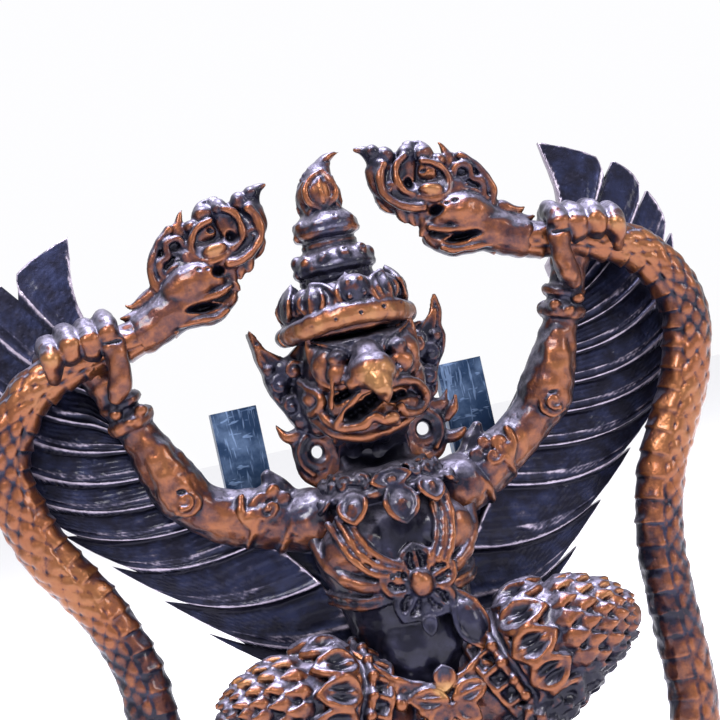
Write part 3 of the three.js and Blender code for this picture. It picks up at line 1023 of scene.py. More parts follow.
@dataclass(frozen=True)
class Head(Assembly):
    """The fierce head: hooked beak, bulging eyes, curled lips, and a flame beside each ear."""

    label = "head"
    axis: float = 0.5  # the face looks a little past the middle
    casting: Casting = Casting(grain=0.2, limit=112_000, seed=3, lumps=0.15, bias=0.02)

    def skull(self, wax: Wax) -> None:
        """Skull, jaw and jowls."""
        wax.ball((0, -2.2, 71), (7.6, 7, 8.8), facets=(28, 18))
        wax.ball((-0.4, -4.4, 67.2), (7, 4.9, 4.4), facets=(24, 14))
        wax.rod([(0, -1, 60, 5), (0, -1.6, 64, 4.9), (0, -2, 68, 4.6)], sides=16)
        # Pushes the neck back under the chin and darkens it with painted shade.
        for x in (-4.5, 0, 4.5):
            wax.press((x, -6, 59.8), (5.5, 4.5, 3.6), (0, 2.6, 0), 1.2)
        wax.ball((-1.4, -6.6, 64.6), (3.6, 2.6, 1.9))
        wax.ball((3.6, -6.2, 65.6), (3, 2.4, 1.8))
        for x in (-6.3, 6.6):
            wax.ball((x, -5, 68.6), (1.7, 2.4, 2.4))
        for s in (-1, 1):
            wax.rod([(s * 6.8, -1.5, 73, 1.3), (s * 7.2, -1.8, 69, 1.6), (s * 6.4, -2, 65, 1.4)])

    def eyes(self, wax: Wax) -> None:
        """The eyes, each within a leaf-shaped surround that sweeps up and out, and the brows above."""
        for s, x in ((-1, -3.4), (1, 4.6)):
            wax.ball((x + s * 0.1, -8.9, 71.2), (1.8, 1.5, 1.7), facets=(20, 14))
            wax.ball((x - s * 0.1, -9.3, 73.1), (1.4, 1.3, 1.1), facets=(20, 14))
            wax.rub((x - s * 0.2, -10.4, 74), 2.2, -0.6)
            leaf = [
                (x - s * 2.1, -9.9, 72.4), (x - s * 1.2, -9.6, 74.2), (x + s * 0.9, -8.7, 75),
                (x + s * 2.9, -6.8, 76.4), (x + s * 3, -6.8, 73.4), (x + s * 2.6, -7.4, 71), (x + s * 0.8, -8.6, 69.4),
                (x - s * 1.2, -9.6, 69.9),
            ]
            wax.rope(leaf, 0.42, closed=True, steps=3)
            wax.ball((x + s * 0.3, -7.3, 72.4), (2.9, 1.9, 2.9), facets=(22, 14))
            wax.rod(
                [(x + s * 1, -7.4, 73, 1.9, 1.2), (x + s * 2.2, -6.6, 74.6, 1.2, 0.9),
                 (x + s * 2.8, -6.2, 75.8, 0.5, 0.5)], sides=12,
            )
            wax.rod([(x + s * 1.4, -7, 71.6, 1.7, 1.4), (x + s * 1.8, -6.8, 70, 1.2, 1.2)], sides=12)
            wax.rub((x + s * 1.2, -9, 72), 3.4, 0.22)
        for s in (-1, 1):
            wax.rubbed(((s * 9, -4.6, 61.6), 5.4, -0.4), ((s * 10.4, -3, 70), 5, -0.2))
        wax.ball((0.5, -7.4, 74.7), (5.6, 2.6, 1.7), facets=(24, 14))
        for x in (-2.4, 0.5, 3.4):
            wax.rub((x, -9.6, 75.6), 2.8, -0.6)
        # A groove under the circlet, darkened with painted shade.
        wax.press((0.4, -9.6, 76.2), (9, 4.8, 1.15), (0, 3.2, 0), 1.5)

    def beak(self, wax: Wax) -> None:
        """The beak: a bridge, a broad bulb and a hook over the mouth."""
        x = self.axis - 0.2
        wax.rod(
            [(x, -7.6, 76, 1.6, 1.1), (x, -8.8, 74.2, 1.8, 1.3), (x, -10.4, 72.8, 2, 1.5), (x, -11.6, 71.4, 2.2, 1.6)],
            sides=14, steps=4, facing=(0, 0, 1),
        )
        wax.ball((x, -11.7, 70.6), (3.1, 2.7, 2.5), facets=(26, 18))
        wax.ball((x - 2.1, -11.3, 69.6), (1.6, 1.5, 1.3), facets=(18, 12))
        wax.rod(
            [(x + 0.2, -12.8, 69.8, 2.3, 1.8), (x + 0.4, -13.8, 68.4, 1.6, 1.4), (x + 0.7, -13.8, 67.2, 0.95, 0.8),
             (x + 0.8, -13.2, 66.2, 0.3, 0.3)], sides=12, steps=4, facing=(0, 0, 1),
        )
        for s in (-1, 1):
            wax.ball((x + s * 2.5, -10.8, 69.6), (1.1, 1.1, 0.9))
            wax.curl((x + s * 2.9, -10.6, 69.4), 1.1, 0.38, turns=1, start=90 + s * 60, hand=-s)
            wax.rope([(x + s * 1.2, -10.4, 73.6), (x + s * 2.2, -10.6, 72.2), (x + s * 2.9, -10.6, 70.8)], 0.4, sides=7)
        wax.rubbed(((x + 0.7, -14, 70), 4.8, 0.46), ((x - 0.2, -13, 73.2), 2.4, -0.4))

    def mouth(self, wax: Wax) -> None:
        """The open mouth: dark hollows between curled lips, a bead at its corner and a fringed chin."""
        wax.rope(
            [(-0.3, -11.6, 68.4), (-2, -11.2, 68), (-3.6, -10.4, 66.6), (-4.9, -9.2, 65.2), (-5.5, -8.2, 64.4)], 0.55,
        )
        wax.rope(
            [(1, -11.6, 68.2), (2.6, -10.8, 68.5), (4.4, -9.8, 68.6), (6.2, -8.4, 68), (7.6, -6.4, 66.4),
             (7.1, -6.3, 64.9), (5.6, -7.4, 64.2), (3.8, -8.8, 64.6), (3.2, -9.6, 65.4)], 0.66,
        )
        wax.rope(
            [(-6.6, -7, 67), (-5.9, -7.8, 65.2), (-4.2, -9, 64.2), (-2.2, -9.9, 64), (-0.7, -10.4, 64.8),
             (0.8, -10.2, 64), (2.4, -9.4, 63.6)], 0.75,
        )
        wax.rope(
            [(-7.2, -4.6, 66.2), (-5.4, -6.6, 63.9), (-2.4, -7.8, 62.6), (0.8, -7.6, 62.6), (4, -6.4, 63.4),
             (6.4, -4.6, 65)], 0.9,
        )
        wax.rope(
            [(-8, -4.4, 71.2), (-7.4, -6.2, 70), (-6.4, -7.8, 68.9), (-6.6, -7.6, 67.6), (-7.6, -6, 67),
             (-7.9, -4.6, 67.4)], 0.62,
        )
        wax.rope([(-4.7, -9.7, 70.6), (-5, -9.6, 69), (-5.5, -9.3, 67)], 0.36, sides=6)
        wax.ball((1.7, -10.2, 64.2), (1.15, 1, 1))
        wax.rope([(5.4, -8.9, 70.4), (6.9, -7.4, 70.4), (8, -5.4, 69.6)], 0.5, sides=7)
        for x, z in ((-5.2, 62.9), (-3.4, 62.1), (-1.2, 61.8), (1.2, 62), (3.4, 62.6)):
            wax.curl((x, -6.4, z), 1, 0.42, turns=0.8, start=150, hand=1)
        for dx, dz, wide in ((-1.6, -0.5, 1.7), (-0.3, 0, 1.7), (1, 0.6, 1.4), (1.9, 1.1, 1)):
            wax.press((-1.2 + dx, -10.8, 66.1 + dz), (wide, 4.4, 1.25), (0, 2.6, 0), 1)
        for x, z, wide in (
            (-4.2, 68, 1.1), (-3.2, 68.3, 1.2), (-2.2, 68.7, 1), (2.9, 66.7, 1.2), (4.2, 66.9, 1.4), (5.6, 67.1, 1.1),
        ):
            wax.press((x, -9.8, z), (wide, 3.4, 0.85), (0, 2, 0), 1)
        wax.ball((-7.2, -5.4, 68.8), (1.3, 1.7, 1.4))
        wax.rub((1.7, -10.8, 64.3), 1.7, 0.3)

    def ears(self, wax: Wax) -> None:
        """The flames beside the ears, with curls and small openings low down."""
        left = [
            (-6, 76), (-8.2, 75.2), (-9.6, 74.9), (-11.4, 76), (-12.2, 77.4), (-13.1, 79.3), (-12.8, 77), (-12.6, 75.1),
            (-12.2, 73.5), (-11.9, 71.1), (-10.7, 68.5), (-9.6, 66.2), (-8.4, 64.8), (-6.6, 65.2), (-5, 70),
        ]
        right = [
            (6, 76), (8.6, 76), (9.9, 75.8), (11.3, 75.9), (12.3, 77.4), (12.8, 79), (13.3, 76.9), (12.8, 75),
            (13, 73.4), (12.4, 71.2), (11.4, 69.9), (10.8, 68.4), (10.2, 66.2), (8.4, 65.2), (6.6, 65.2), (5, 70),
        ]
        for s, outline in ((-1, left), (1, right)):
            wax.plate(outline, 0.9, -1.5)
            ridge = [(x * 0.97, -1.6, z) for x, z in outline[2:14]]
            wax.rope(ridge, 0.24, sides=6, steps=2)
            wax.leaf((s * 8.2, -1.5, 71), (s * 12.2, -1.3, 77), 0.8, FRONT, rim=0.3, thick=0.6)
            for x, z, size in (
                (10.4, 71.4, 1.4), (9.2, 68.6, 1.4), (9, 73.2, 1.6), (8.4, 66.4, 1.3), (11.4, 73.6, 0.9),
            ):
                wax.ball((s * x, -1.6, z), (size, 0.9, size))
                wax.rub((s * x, -2.6, z), 2.8, -0.22)
            wax.curl((s * 10.4, -1.9, 71.4), 1.3, 0.5, turns=1.2, start=90 - s * 60, hand=s)
            wax.curl((s * 9.4, -2, 68.4), 1.2, 0.48, turns=1.2, start=90 - s * 60, hand=s)
            wax.curl((s * 8.3, -3.4, 72.8), 1.5, 0.5, turns=1.1, start=90 - s * 90, hand=s)
            wax.ball((s * 8.3, -3.2, 72.8), (0.9, 1, 0.9))
            ring = [(s * (7.3 + 1.75 * math.cos(t)), -0.6, 61.8 + 1.85 * math.sin(t)) for t in even_turns(10)]
            wax.rope(ring, 1, sides=9, steps=2, closed=True)
            wax.rod(
                [(s * 6, -0.4, 66.4, 1.6, 1), (s * 8.6, -0.6, 64.6, 1.3, 0.9), (s * 10.6, -0.6, 64.6, 0.9, 0.8),
                 (s * 11.4, -0.4, 65.6, 0.4, 0.5), (s * 11.8, -0.4, 66.4, 0.15, 0.2)], sides=9,
            )
            wax.rod(
                [(s * 9.4, -0.5, 64, 1.2, 0.8), (s * 9.4, -0.5, 62, 1.1, 0.8), (s * 9.2, -0.5, 60, 1.2, 0.8),
                 (s * 8, -0.5, 58.6, 1.4, 0.8), (s * 6, -0.8, 58.2, 1.6, 1), (s * 4.6, -0.8, 60.6, 1.5, 1)], sides=9,
            )
            wax.rod([(s * 5.2, -0.6, 66, 1.6, 1), (s * 5, -0.8, 63.6, 1.5, 1), (s * 4.8, -0.8, 61, 1.4, 1)], sides=9)
            wax.rope(
                [(s * 8.4, -1.4, 64.2), (s * 9.7, -1.3, 62.6), (s * 9.6, -1.3, 60.6), (s * 8.4, -1.4, 59)], 0.4,
                sides=7,
            )
        wax.rod([(10.9, -0.6, 62.6, 0.7), (12, -0.8, 63.6, 0.8), (12.6, -0.8, 65.2, 0.3)])
        wax.rod([(9.6, -0.6, 60.2, 0.8), (11.6, -0.6, 60, 0.9), (13, -0.6, 60.6, 0.3)])

    def model(self, side: int) -> Wax:
        """Models the head."""
        return Wax.worked(self.skull, self.eyes, self.beak, self.mouth, self.ears)


@dataclass(frozen=True)
class Crown(Assembly):
    """The tiered crown on its circlet, with a row of buds and a finial that bends over."""

    label = "crown"
    bend: float = 3.0
    bend_from: float = 96.0
    buds: int = 9
    casting: Casting = Casting(grain=0.2, limit=66_000, seed=8, lumps=0.18)

    def circlet(self, wax: Wax) -> None:
        """The thick band over the brow, which rises a little at its middle."""
        ring = []
        for i in range(20):
            turn = TURN * i / 20
            side, front = math.sin(turn), math.cos(turn)
            height = 77.8 + 0.5 * max(front, 0) ** 4 - 0.5 * abs(side) ** 3
            ring.append((8.4 * side - 0.1, -2.4 - 8.4 * front, height, 1.25 + 0.35 * max(front, 0), 1.15))
        wax.rod(ring, sides=14, steps=3, closed=True)
        wax.turned(
            [(0, 75.8), (6.6, 76), (7.6, 76.8), (8.2, 78.4), (7.2, 79.4), (0, 79.8)], (-0.2, -2.2), depth=0.92, steps=2,
        )
        for side, front in round_places(7, 62):
            wax.rub((9.6 * side, -2.4 - 9.4 * front, 77.8), 2.8, 0.3)
            wax.press((9.3 * side + 0.5, -2.4 - 9.4 * front, 78.2 + 0.6 * side), (0.45, 0.8, 0.4), (0, 0.4, 0), 0.7)

    def tiers(self, wax: Wax) -> None:
        """The turned tiers with their ribbed edges."""
        wax.turned(
            [(0, 78), (7.4, 79.2), (7.5, 80.6), (6.2, 82), (4.6, 83.2), (4.4, 84.2), (5.2, 85), (5.4, 86), (4.7, 87),
             (3.6, 87.8), (3.3, 88.6), (3.9, 89.3), (4.4, 90.2), (4.2, 91.2), (3.3, 92.2), (2.6, 92.9), (2.8, 94.2),
             (2.7, 95.6), (2.2, 97), (1.3, 98.4), (0, 99)],
            (0, -2.5), sides=36, steps=3,
        )
        for radius, z, size, count in ((4.7, 86.2, 1.15, 11), (3.6, 90.9, 0.95, 9)):
            for i in range(count):
                turn = TURN * (i + 0.3) / count
                x, y = radius * math.sin(turn), radius * math.cos(turn)
                wax.ball((x, -2.5 - y, z + 0.15 * math.sin(3 * turn)), (size * 0.9, size * 0.9, size))
                wax.press((x * 1.2, -2.5 - 1.2 * y, z + 0.8), (0.5, 0.6, 0.4), (0, 0.3, 0), 0.4)
        for radius, z, thick in ((4.9, 85.1, 0.8), (3.9, 89.8, 0.7), (4.5, 83.6, 0.45), (3.4, 88.3, 0.35)):
            ring = [(radius * math.sin(t), -2.6 - radius * math.cos(t), z) for t in even_turns(16)]
            wax.rope(ring, thick, steps=2, closed=True)
        wax.rubbed(((0, -8.4, 87), 4.6, -0.3), ((0, -7, 91.4), 4.4, -0.4))

    def petals(self, wax: Wax) -> None:
        """The row of buds and leaves over the circlet."""
        for i, (side, front) in enumerate(round_places(self.buds, 150)):
            root = (7.5 * side, -2.5 - 7.2 * front, 78.8)
            tip = (5.9 * side, -2.5 - 5.8 * front, 83.2 - 0.5 * (i % 2))
            wax.leaf(root, tip, 1.8, (side, -front, 0.25), rim=0.36, thick=1.15, bow=0.9, rib=0.3 * (i % 2))
            wax.rub(tip, 4.4, -0.4)
        for side, front in round_places(self.buds - 1, 131):
            wax.ball((6.6 * side, -2.5 - 6.5 * front, 80.8), (1.5, 1.4, 2.2), facets=(18, 12))
            wax.curl((7.7 * side, -2.5 - 7.6 * front, 80.2), 0.9, 0.36, turns=1, facing=(side, -front, 0.2))
        wax.ball((0.6, -10.2, 81.4), (2.1, 1.7, 2.1), facets=(20, 14))
        for x, z in ((-0.3, 82.4), (1.3, 82.5), (0.6, 81.3), (-0.4, 80.5), (1.5, 80.6)):
            wax.ball((x, -11.6, z), (0.42, 0.35, 0.42), facets=(8, 6))
        wax.rub((0.5, -11.4, 81), 2.6, -0.4)
        for s in (-1, 1):
            wax.leaf(
                (0.4 + s * 2.6, -9.9, 79.3), (0.2 + s * 4.4, -7.6, 83), 1.4, (s * 0.5, -1, 0.2), rim=0.42, thick=0.9,
            )

    def finial(self, wax: Wax) -> None:
        """The bud at the top, wrapped in flame-shaped leaves."""
        wax.ball((-0.2, -2.7, 94.9), (2.9, 2.6, 2.7), facets=(22, 16))
        wax.leaf((-0.2, -4.7, 92.7), (-0.1, -4.1, 97.8), 2.1, (0, -1, 0.1), rim=0.5, thick=0.7, bow=0.6)
        wax.ball((-0.2, -5.2, 94.9), (1.4, 0.9, 1.9), facets=(18, 12))
        wax.rope([(-0.1, -5.8, 93.6), (-0.2, -6.1, 95.2), (0, -5.5, 96.8)], 0.28, sides=6)
        for s in (-1, 1):
            wax.leaf((s * 1.8, -4.4, 92.5), (s * 1.6, -3.6, 96.8), 1, (s, -0.8, 0), rim=0.34, thick=0.5)
            wax.leaf((s * 2.1, -1.4, 92.5), (s * 1.7, -1.6, 97), 1.1, (s, 0.8, 0), rim=0.34, thick=0.5)
        wax.rod(
            [(-0.2, -2.6, 96.4, 2.2, 2), (-0.3, -2.6, 97.8, 1.75, 1.5), (-0.5, -2.6, 98.9, 1.45, 1.1),
             (-0.1, -2.6, 99.5, 0.95, 0.8), (0.5, -2.6, 99.75, 0.45), (0.9, -2.6, 100, 0.2)], sides=12,
        )
        wax.beads([(-2.2, -2.6, 97.4), (-2, -2.8, 98.4), (-1.4, -2.8, 99.2)], 0.35, 4)
        wax.rubbed(((0, -6, 94.6), 2.6, 0.35), ((0, -2.6, 98.8), 3, -0.5))

    def model(self, side: int) -> Wax:
        """Models the crown, and bends its top over."""
        wax = Wax.worked(self.circlet, self.tiers, self.petals, self.finial)
        wax.gather()
        for vert in wax.bm.verts:
            above = max(vert.co.z - self.bend_from, 0) / (100 - self.bend_from)
            vert.co.x += self.bend * above**2
        return wax


@dataclass(frozen=True)
class Torso(Assembly):
    """Chest, belly and hips, with the collar, the breast bands, the star jewel and the belt."""

    label = "torso"
    rays: int = 5
    casting: Casting = Casting(grain=0.22, limit=110_000, seed=5, lumps=0.2)

    def trunk(self, wax: Wax) -> None:
        """The body from the hips to the neck."""
        wax.ball((0, 0.2, 23.6), (9.4, 6, 7), facets=(28, 18))
        wax.rod(
            [(0, -1, 22, 7, 5), (0, -1, 27, 9, 6.6), (0, -1.8, 34, 7.8, 6.6), (0, -2.2, 41, 8.8, 6.6),
             (0, -1.8, 48, 10.8, 6.6), (0, -0.6, 54, 10, 5.2), (0, -1, 59, 5.2, 4.6), (0, -2, 64, 4.6, 4.4)],
            sides=40, steps=5,
        )
        for s in (-1, 1):
            wax.ball((s * 5.2, -5.4, 48.6), (5, 3.2, 4.2), facets=(24, 16))
            wax.rope(
                [(s * 10.6, -3.4, 51), (s * 9.6, -5.6, 47), (s * 7, -7.6, 44.2), (s * 3.4, -8.4, 43.2)], 1, sides=10,
            )
        wax.ball((0, -6.6, 35), (5.6, 2.4, 5.2), facets=(24, 16))
        for x, z in ((-3, 36), (3, 36), (0, 33), (-6, 39), (0.5, 49.6)):
            wax.press((x, -8, z), (6, 6, 5), (0, 0, 0), 0.55)
        wax.rubbed(((0, -8.6, 36), 8, -1), ((0.6, -8.6, 49), 6, -0.25))
        # Pushes the neck back under the chin and darkens it with painted shade.
        wax.press((0, -6, 61.2), (8, 7, 4), (0, 3, 0), 1.2)
        for s in (-1, 1):
            wax.rub((s * 10.6, -5.5, 54), 5.6, -0.4)

    def collar(self, wax: Wax) -> None:
        """The collar: two mouldings with scrollwork between, a lozenge in front and hanging petals."""
        wax.turned([(0, 53), (8.6, 54.2), (9.2, 55.4), (7.6, 57.4), (5.2, 58.8), (0, 60)], (0, -1.2), depth=0.78)
        for radius, depth, z, dip, thick in ((9.4, 7.2, 55.4, 0.4, 0.55), (6.4, 5.7, 58.2, 0.2, 0.5)):
            places = ((math.sin(t), math.cos(t)) for t in even_turns(18))
            ring = [(radius * side, -1.2 - depth * front, z - dip * max(front, 0)) for side, front in places]
            wax.rope(ring, thick, closed=True, steps=2)
        # Keeps the neck under the chin dark: painted shade.
        wax.rub((0, -6, 60.6), 5, -0.9)
        for i, (side, front) in enumerate(round_places(12, 96)):
            centre = (8.0 * side, -1.2 - 6.6 * front, 57)
            if abs(side) > 0.16:
                wax.curl(
                    centre, 1.25, 0.42, turns=1.3, start=60 * i, hand=1 if side > 0 else -1, facing=(side, -front, 0.5),
                )
        wax.leaf((-2.4, -8, 56.4), (2.8, -8, 56.6), 1.2, (0, -1, 0.35), rim=0.4, thick=0.7, belly=0.5)
        wax.ball((0.2, -8.9, 56.5), (0.7, 0.5, 0.6))
        for angle, width, low in ((-66, 1.6, 53.8), (-34, 1.9, 51.9), (4, 2.1, 50.6), (32, 1.9, 52.6), (64, 1.6, 54.2)):
            side, front = math.sin(math.radians(angle)), math.cos(math.radians(angle))
            root = (8.2 * side, -1.6 - 6.6 * front, 55.6)
            tip = (9.8 * side, -1.6 - 8.4 * front, low)
            wax.rub(root, 3.4, -0.3)
            wax.leaf(root, tip, width, (side, -front, 0.1), rim=0.42, thick=0.55, bow=0.5)
            middle = [0.45 * a + 0.55 * b for a, b in zip(root, tip)]
            wax.ball((middle[0] + 0.5 * side, middle[1] - 0.5 * front, middle[2] + 0.5), (0.75, 0.6, 0.85))

    def bands(self, wax: Wax) -> None:
        """The ridged bands from the shoulders and the ribs to the jewel."""
        for k in range(3):
            drift = 1.1 * k
            wax.rope(
                [(-6.2 - drift * 1.2, -6.8, 53.6 - 0.5 * drift), (-5.2 - drift, -8.6, 49.4 - 0.5 * drift),
                 (-3.4 - drift * 0.9, -9.2, 47.0 - 0.7 * drift), (-0.9 - drift * 0.4, -9.7, 45.4 - 0.6 * drift)], 0.5,
            )
            wax.rope(
                [(5.0 + drift * 0.9, -6.8, 54), (4.9 + drift, -8.3, 50.4), (4.0 + drift * 1.1, -9.2, 47.4),
                 (2.8 + drift * 0.9, -9.7, 45.6 - 0.5 * drift)], 0.5,
            )
        for s in (-1, 1):
            for k in range(2):
                wax.rope(
                    [(s * 9.9, -1.6, 43.4 - 1.1 * k), (s * 8.6, -5, 42.6 - 1.0 * k), (s * 6.2, -7.6, 41.8 - 0.8 * k),
                     (s * 3, -8.8, 41.8 - 0.6 * k)], 0.5, sides=8,
                )
        wax.rubbed(((-6.5, -9.2, 48), 3.4, 0.25), ((7.5, -8.6, 48), 3.2, 0.25))

    def jewel(self, wax: Wax) -> None:
        """The star jewel: two rings of hollow petals round a boss, and a drop below it."""
        x, y, z = 0.9, -9.2, 42.6
        wax.ball((x, y + 1.6, z), (3.2, 1.6, 3.2), facets=(20, 10))
        for i in range(self.rays):
            turn = TURN * i / self.rays
            side, up = math.sin(turn), math.cos(turn)
            wax.leaf(
                (x + 1.0 * side, y, z + 1.0 * up), (x + 5.1 * side, y + 0.3, z + 5.1 * up), 1.9,
                (0.15 * side, -1, 0.15 * up), rim=0.48, thick=0.3, bow=0.2, rib=0.42, belly=0.55,
            )
            for s in (-1, 1):
                for far in (2.3, 3.1, 3.8):
                    wide = 0.85 if far < 3.5 else 0.55
                    wax.press(
                        (x + far * side + s * wide * up, y - 0.5, z + far * up - s * wide * side), (0.55, 1.4, 0.55),
                        (0, 0.35, 0), 0.4,
                    )
        wax.ball((x, y - 0.7, z), (1.7, 1.3, 1.8), facets=(18, 12))
        wax.ball((x - 0.5, y - 1.3, z + 1), (0.7, 0.7, 0.8))
        wax.leaf((x, y - 0.2, z - 4.4), (x - 0.1, y - 0.2, z - 6.8), 0.8, FRONT, rim=0.36, belly=0.35)
        wax.rub((x, y - 1.8, z - 0.5), 2.4, 0.3)

    def belt(self, wax: Wax) -> None:
        """The belt that sags between the hips, with its clasp, leaves and hanging beads."""
        line = [
            (-11.5, -4.6, 37.4), (-9.2, -7.4, 35), (-5.4, -9.4, 31.2), (0.2, -9.8, 28.9), (4.4, -9.6, 30),
            (8.4, -8, 33), (11, -5.6, 36.2),
        ]
        wax.rod([(*p, 0.9, 0.7) for p in line], sides=12)
        wax.rope([(x, y - 0.5, z + 0.55) for x, y, z in line], 0.5)
        wax.rope([(x * 0.97, y - 0.5, z - 1.5) for x, y, z in line], 0.4)
        for i, (x, y, z) in enumerate(smooth_line(line, 2)[1:-1]):
            wax.ball((x * 0.95, y - 0.7, z - 2.9), (0.85, 0.8, 0.9 + 0.3 * (i % 2)))
        wax.leaf((1, -10.4, 31.8), (1, -10, 28.8), 1.2, FRONT, rim=0.42, thick=0.6, bow=0.3)
        wax.ball((0.8, -10.5, 30.9), (0.7, 0.7, 0.7))
        for s in (-1, 1):
            wax.leaf(
                (1.2 + s * 0.6, -10.6, 27.6), (1.2 + s * 5, -10, 28.4), 1.3, FRONT, rim=0.42, thick=0.5, bow=0.3,
                rib=0.3,
            )
            wax.leaf((1.2 + s * 0.4, -10.6, 26.6), (1.2 + s * 3.4, -10, 24.2), 1.2, FRONT, rim=0.4, thick=0.5, bow=0.3)
            wax.curl((1.2 + s * 5.6, -9.8, 29.8), 1.1, 0.42, turns=1.1, start=90, hand=s)
        wax.rub((1, -11, 29.8), 2.8, 0.35)
        wax.leaf((4.9, -8.6, 41), (7.2, -9.2, 32.8), 2.1, (0.2, -1, 0), rim=0.42, thick=0.5, bow=0.3, belly=0.55)
        wax.ball((6.3, -9.6, 36.4), (1.5, 0.8, 3), turn=(0, -16, 0), facets=(18, 12))
        wax.rub((6.6, -10.4, 35.8), 2.6, -0.6)
        for x, y, z in line:
            wax.rub((x, y - 1.2, z), 2.2, 0.3)

    def back(self, wax: Wax) -> None:
        """The plain back: a spine line, the sash's ends and the collar's clasp."""
        wax.rope([(0, 4, 56), (0, 4.2, 48), (0, 4.2, 38), (0, 4.8, 30)], 0.7)
        wax.leaf((0, 4.6, 33), (0, 5.4, 26), 2.2, (0, 1, 0), rim=0.45, rib=0.4)

    def model(self, side: int) -> Wax:
        """Models the torso."""
        return Wax.worked(self.trunk, self.collar, self.bands, self.jewel, self.belt, self.back)


@dataclass(frozen=True)
class Arms(Assembly):
    """Both raised arms, with armlets, elbow scrolls and bracelets, and the fists closed on the nagas."""

    label = "arms"
    knuckles: tuple[tuple[float, float], ...] = ((30.1, 85), (32.6, 84.5), (35.2, 84.3), (37.8, 83.3))
    casting: Casting = Casting(grain=0.22, limit=112_000, seed=11, lumps=0.24)

    def limb(self, wax: Wax) -> None:
        """Shoulder, upper arm and forearm."""
        wax.ball((10, -1, 53.4), (4.6, 4.4, 4.2), facets=(24, 16))
        wax.rub((10.4, -5, 55.4), 5.4, -0.4)
        wax.rod(
            [(6, -0.6, 52.8, 4.4), (12, -0.2, 53.6, 4), (16.6, 0, 56, 3.5), (21, 0.1, 58.8, 3.2), (24, 0, 61.6, 3.3)],
            sides=24, steps=5,
        )
        wax.rod(
            [(22.4, 0.2, 59, 2.6), (24.6, -0.3, 62.4, 3.7), (26.4, -0.8, 66, 3.4), (28.2, -1.2, 70.2, 2.6),
             (29.8, -1.5, 74, 2.3), (31.6, -2, 78.8, 2.4)], sides=24, steps=5,
        )

    def armlet(self, wax: Wax) -> None:
        """The armlet: two rings, a flower in front and a crest on top."""
        for (x, z), radius in (((12.8, 53.9), 3.75), ((16.6, 56.2), 3.35)):
            self.ring(wax, (x, -0.2, z), (0.9, 0, 0.45), radius, 0.6)
        wax.rod([(12.6, -0.2, 53.8, 3.9), (15.8, -0.1, 55.5, 3.7)], sides=20)
        centre = (15.2, -3.9, 56.4)
        for i, (dx, dz, size) in enumerate(
            ((-1.9, 0.6, 0.9), (-0.9, -1.5, 1), (1, -1.8, 0.8), (2.2, 0.2, 1), (1.2, 1.7, 0.9), (-0.8, 1.9, 0.8))
        ):
            wax.ball(
                (centre[0] + dx, centre[1] + 0.15 * abs(dz) + 0.55, centre[2] + dz),
                (size * 1.3, size * 0.7, size * 1.1), turn=(0, 50 * i, 0),
            )
        wax.curl((centre[0] + 0.1, centre[1] + 0.1, centre[2]), 1.2, 0.42, turns=1.2, start=200, hand=1)
        wax.curl((12.4, -4, 52.6), 1.2, 0.42, turns=1.2, start=20, hand=1, rise=0.2)
        wax.rope([(17.4, -3.2, 55), (18.4, -3.4, 57.4), (18, -2.8, 59.6)], 0.5)
        wax.rod([(12.4, -1, 56.6, 1.8, 1.2), (13.8, -1, 58.8, 1.6, 1.1), (14.6, -1, 60.6, 0.8)], sides=12)
        wax.rubbed((centre, 3.6, 0.1), ((13.8, -1, 59.8), 3.4, -0.5))

    @staticmethod
    def ring(wax: Wax, centre: Row, along: Row, radius: float, thick: float) -> None:
        """A ring round a limb.

        Args:
            wax: Where it is added.
            centre: Its middle.
            along: The limb's direction.
            radius: The ring's radius.
            thick: The radius of its rod.
        """
        heading = unit(np.array(along, float))
        side = unit(np.cross(heading, [0.0, -1.0, 0.0]))
        front = np.cross(side, heading)
        places = [np.array(centre) + radius * (math.cos(t) * side + math.sin(t) * front) for t in even_turns(12)]
        wax.rope(places, thick, closed=True, steps=2)

    def elbow(self, wax: Wax) -> None:
        """The scroll that curls over the elbow, like a sleeve's end."""
        wax.rod(
            [(25, -2, 61.6, 2.8, 2.4), (25.8, -2.4, 64.4, 2.7, 2.2), (27, -2.6, 68, 2.1, 1.9),
             (28, -2.6, 70.6, 1.5, 1.4)], sides=20,
        )
        wax.rope([(23.4, -3.4, 62.4), (23.2, -3.7, 60.8), (24.6, -3.8, 59.8), (26.2, -3.6, 60.4)], 0.4)
        wax.curl((24.9, -4.4, 61.7), 1.2, 0.4, turns=1, start=-120, hand=1, rise=0.2)
        wax.press((25, -5.4, 62.9), (1.2, 1.6, 0.5), (0, 0.8, 0), 1)
        wax.rubbed(
            ((26, -5, 64.4), 5.6, 0.2), ((27.6, -4.4, 69), 5.4, 0.12), ((19.6, -3.6, 56.4), 4.6, 0.25),
            ((11, -4.6, 51.2), 4.6, 0.25),
        )

    def bracelets(self, wax: Wax) -> None:
        """A thick ring at the wrist with a thinner one above it."""
        along = (1.4, -0.4, 4.4)
        for centre, radius, thick in (((29.3, -1.3, 73.2), 2.2, 1.2), ((30.1, -1.6, 75.8), 2.2, 0.8)):
            self.ring(wax, centre, along, radius, thick)
        for x, z in ((27.8, 74.2), (29.6, 73), (31.2, 74.4)):
            wax.ball((x, -4.2, z), (0.9, 0.8, 0.8))
            wax.press((x + 0.9, -5.2, z + 0.6), (0.6, 0.8, 0.4), (0, 0.4, 0), 0.7)
        wax.rub((30.1, -3.8, 76.2), 2.8, -0.4)

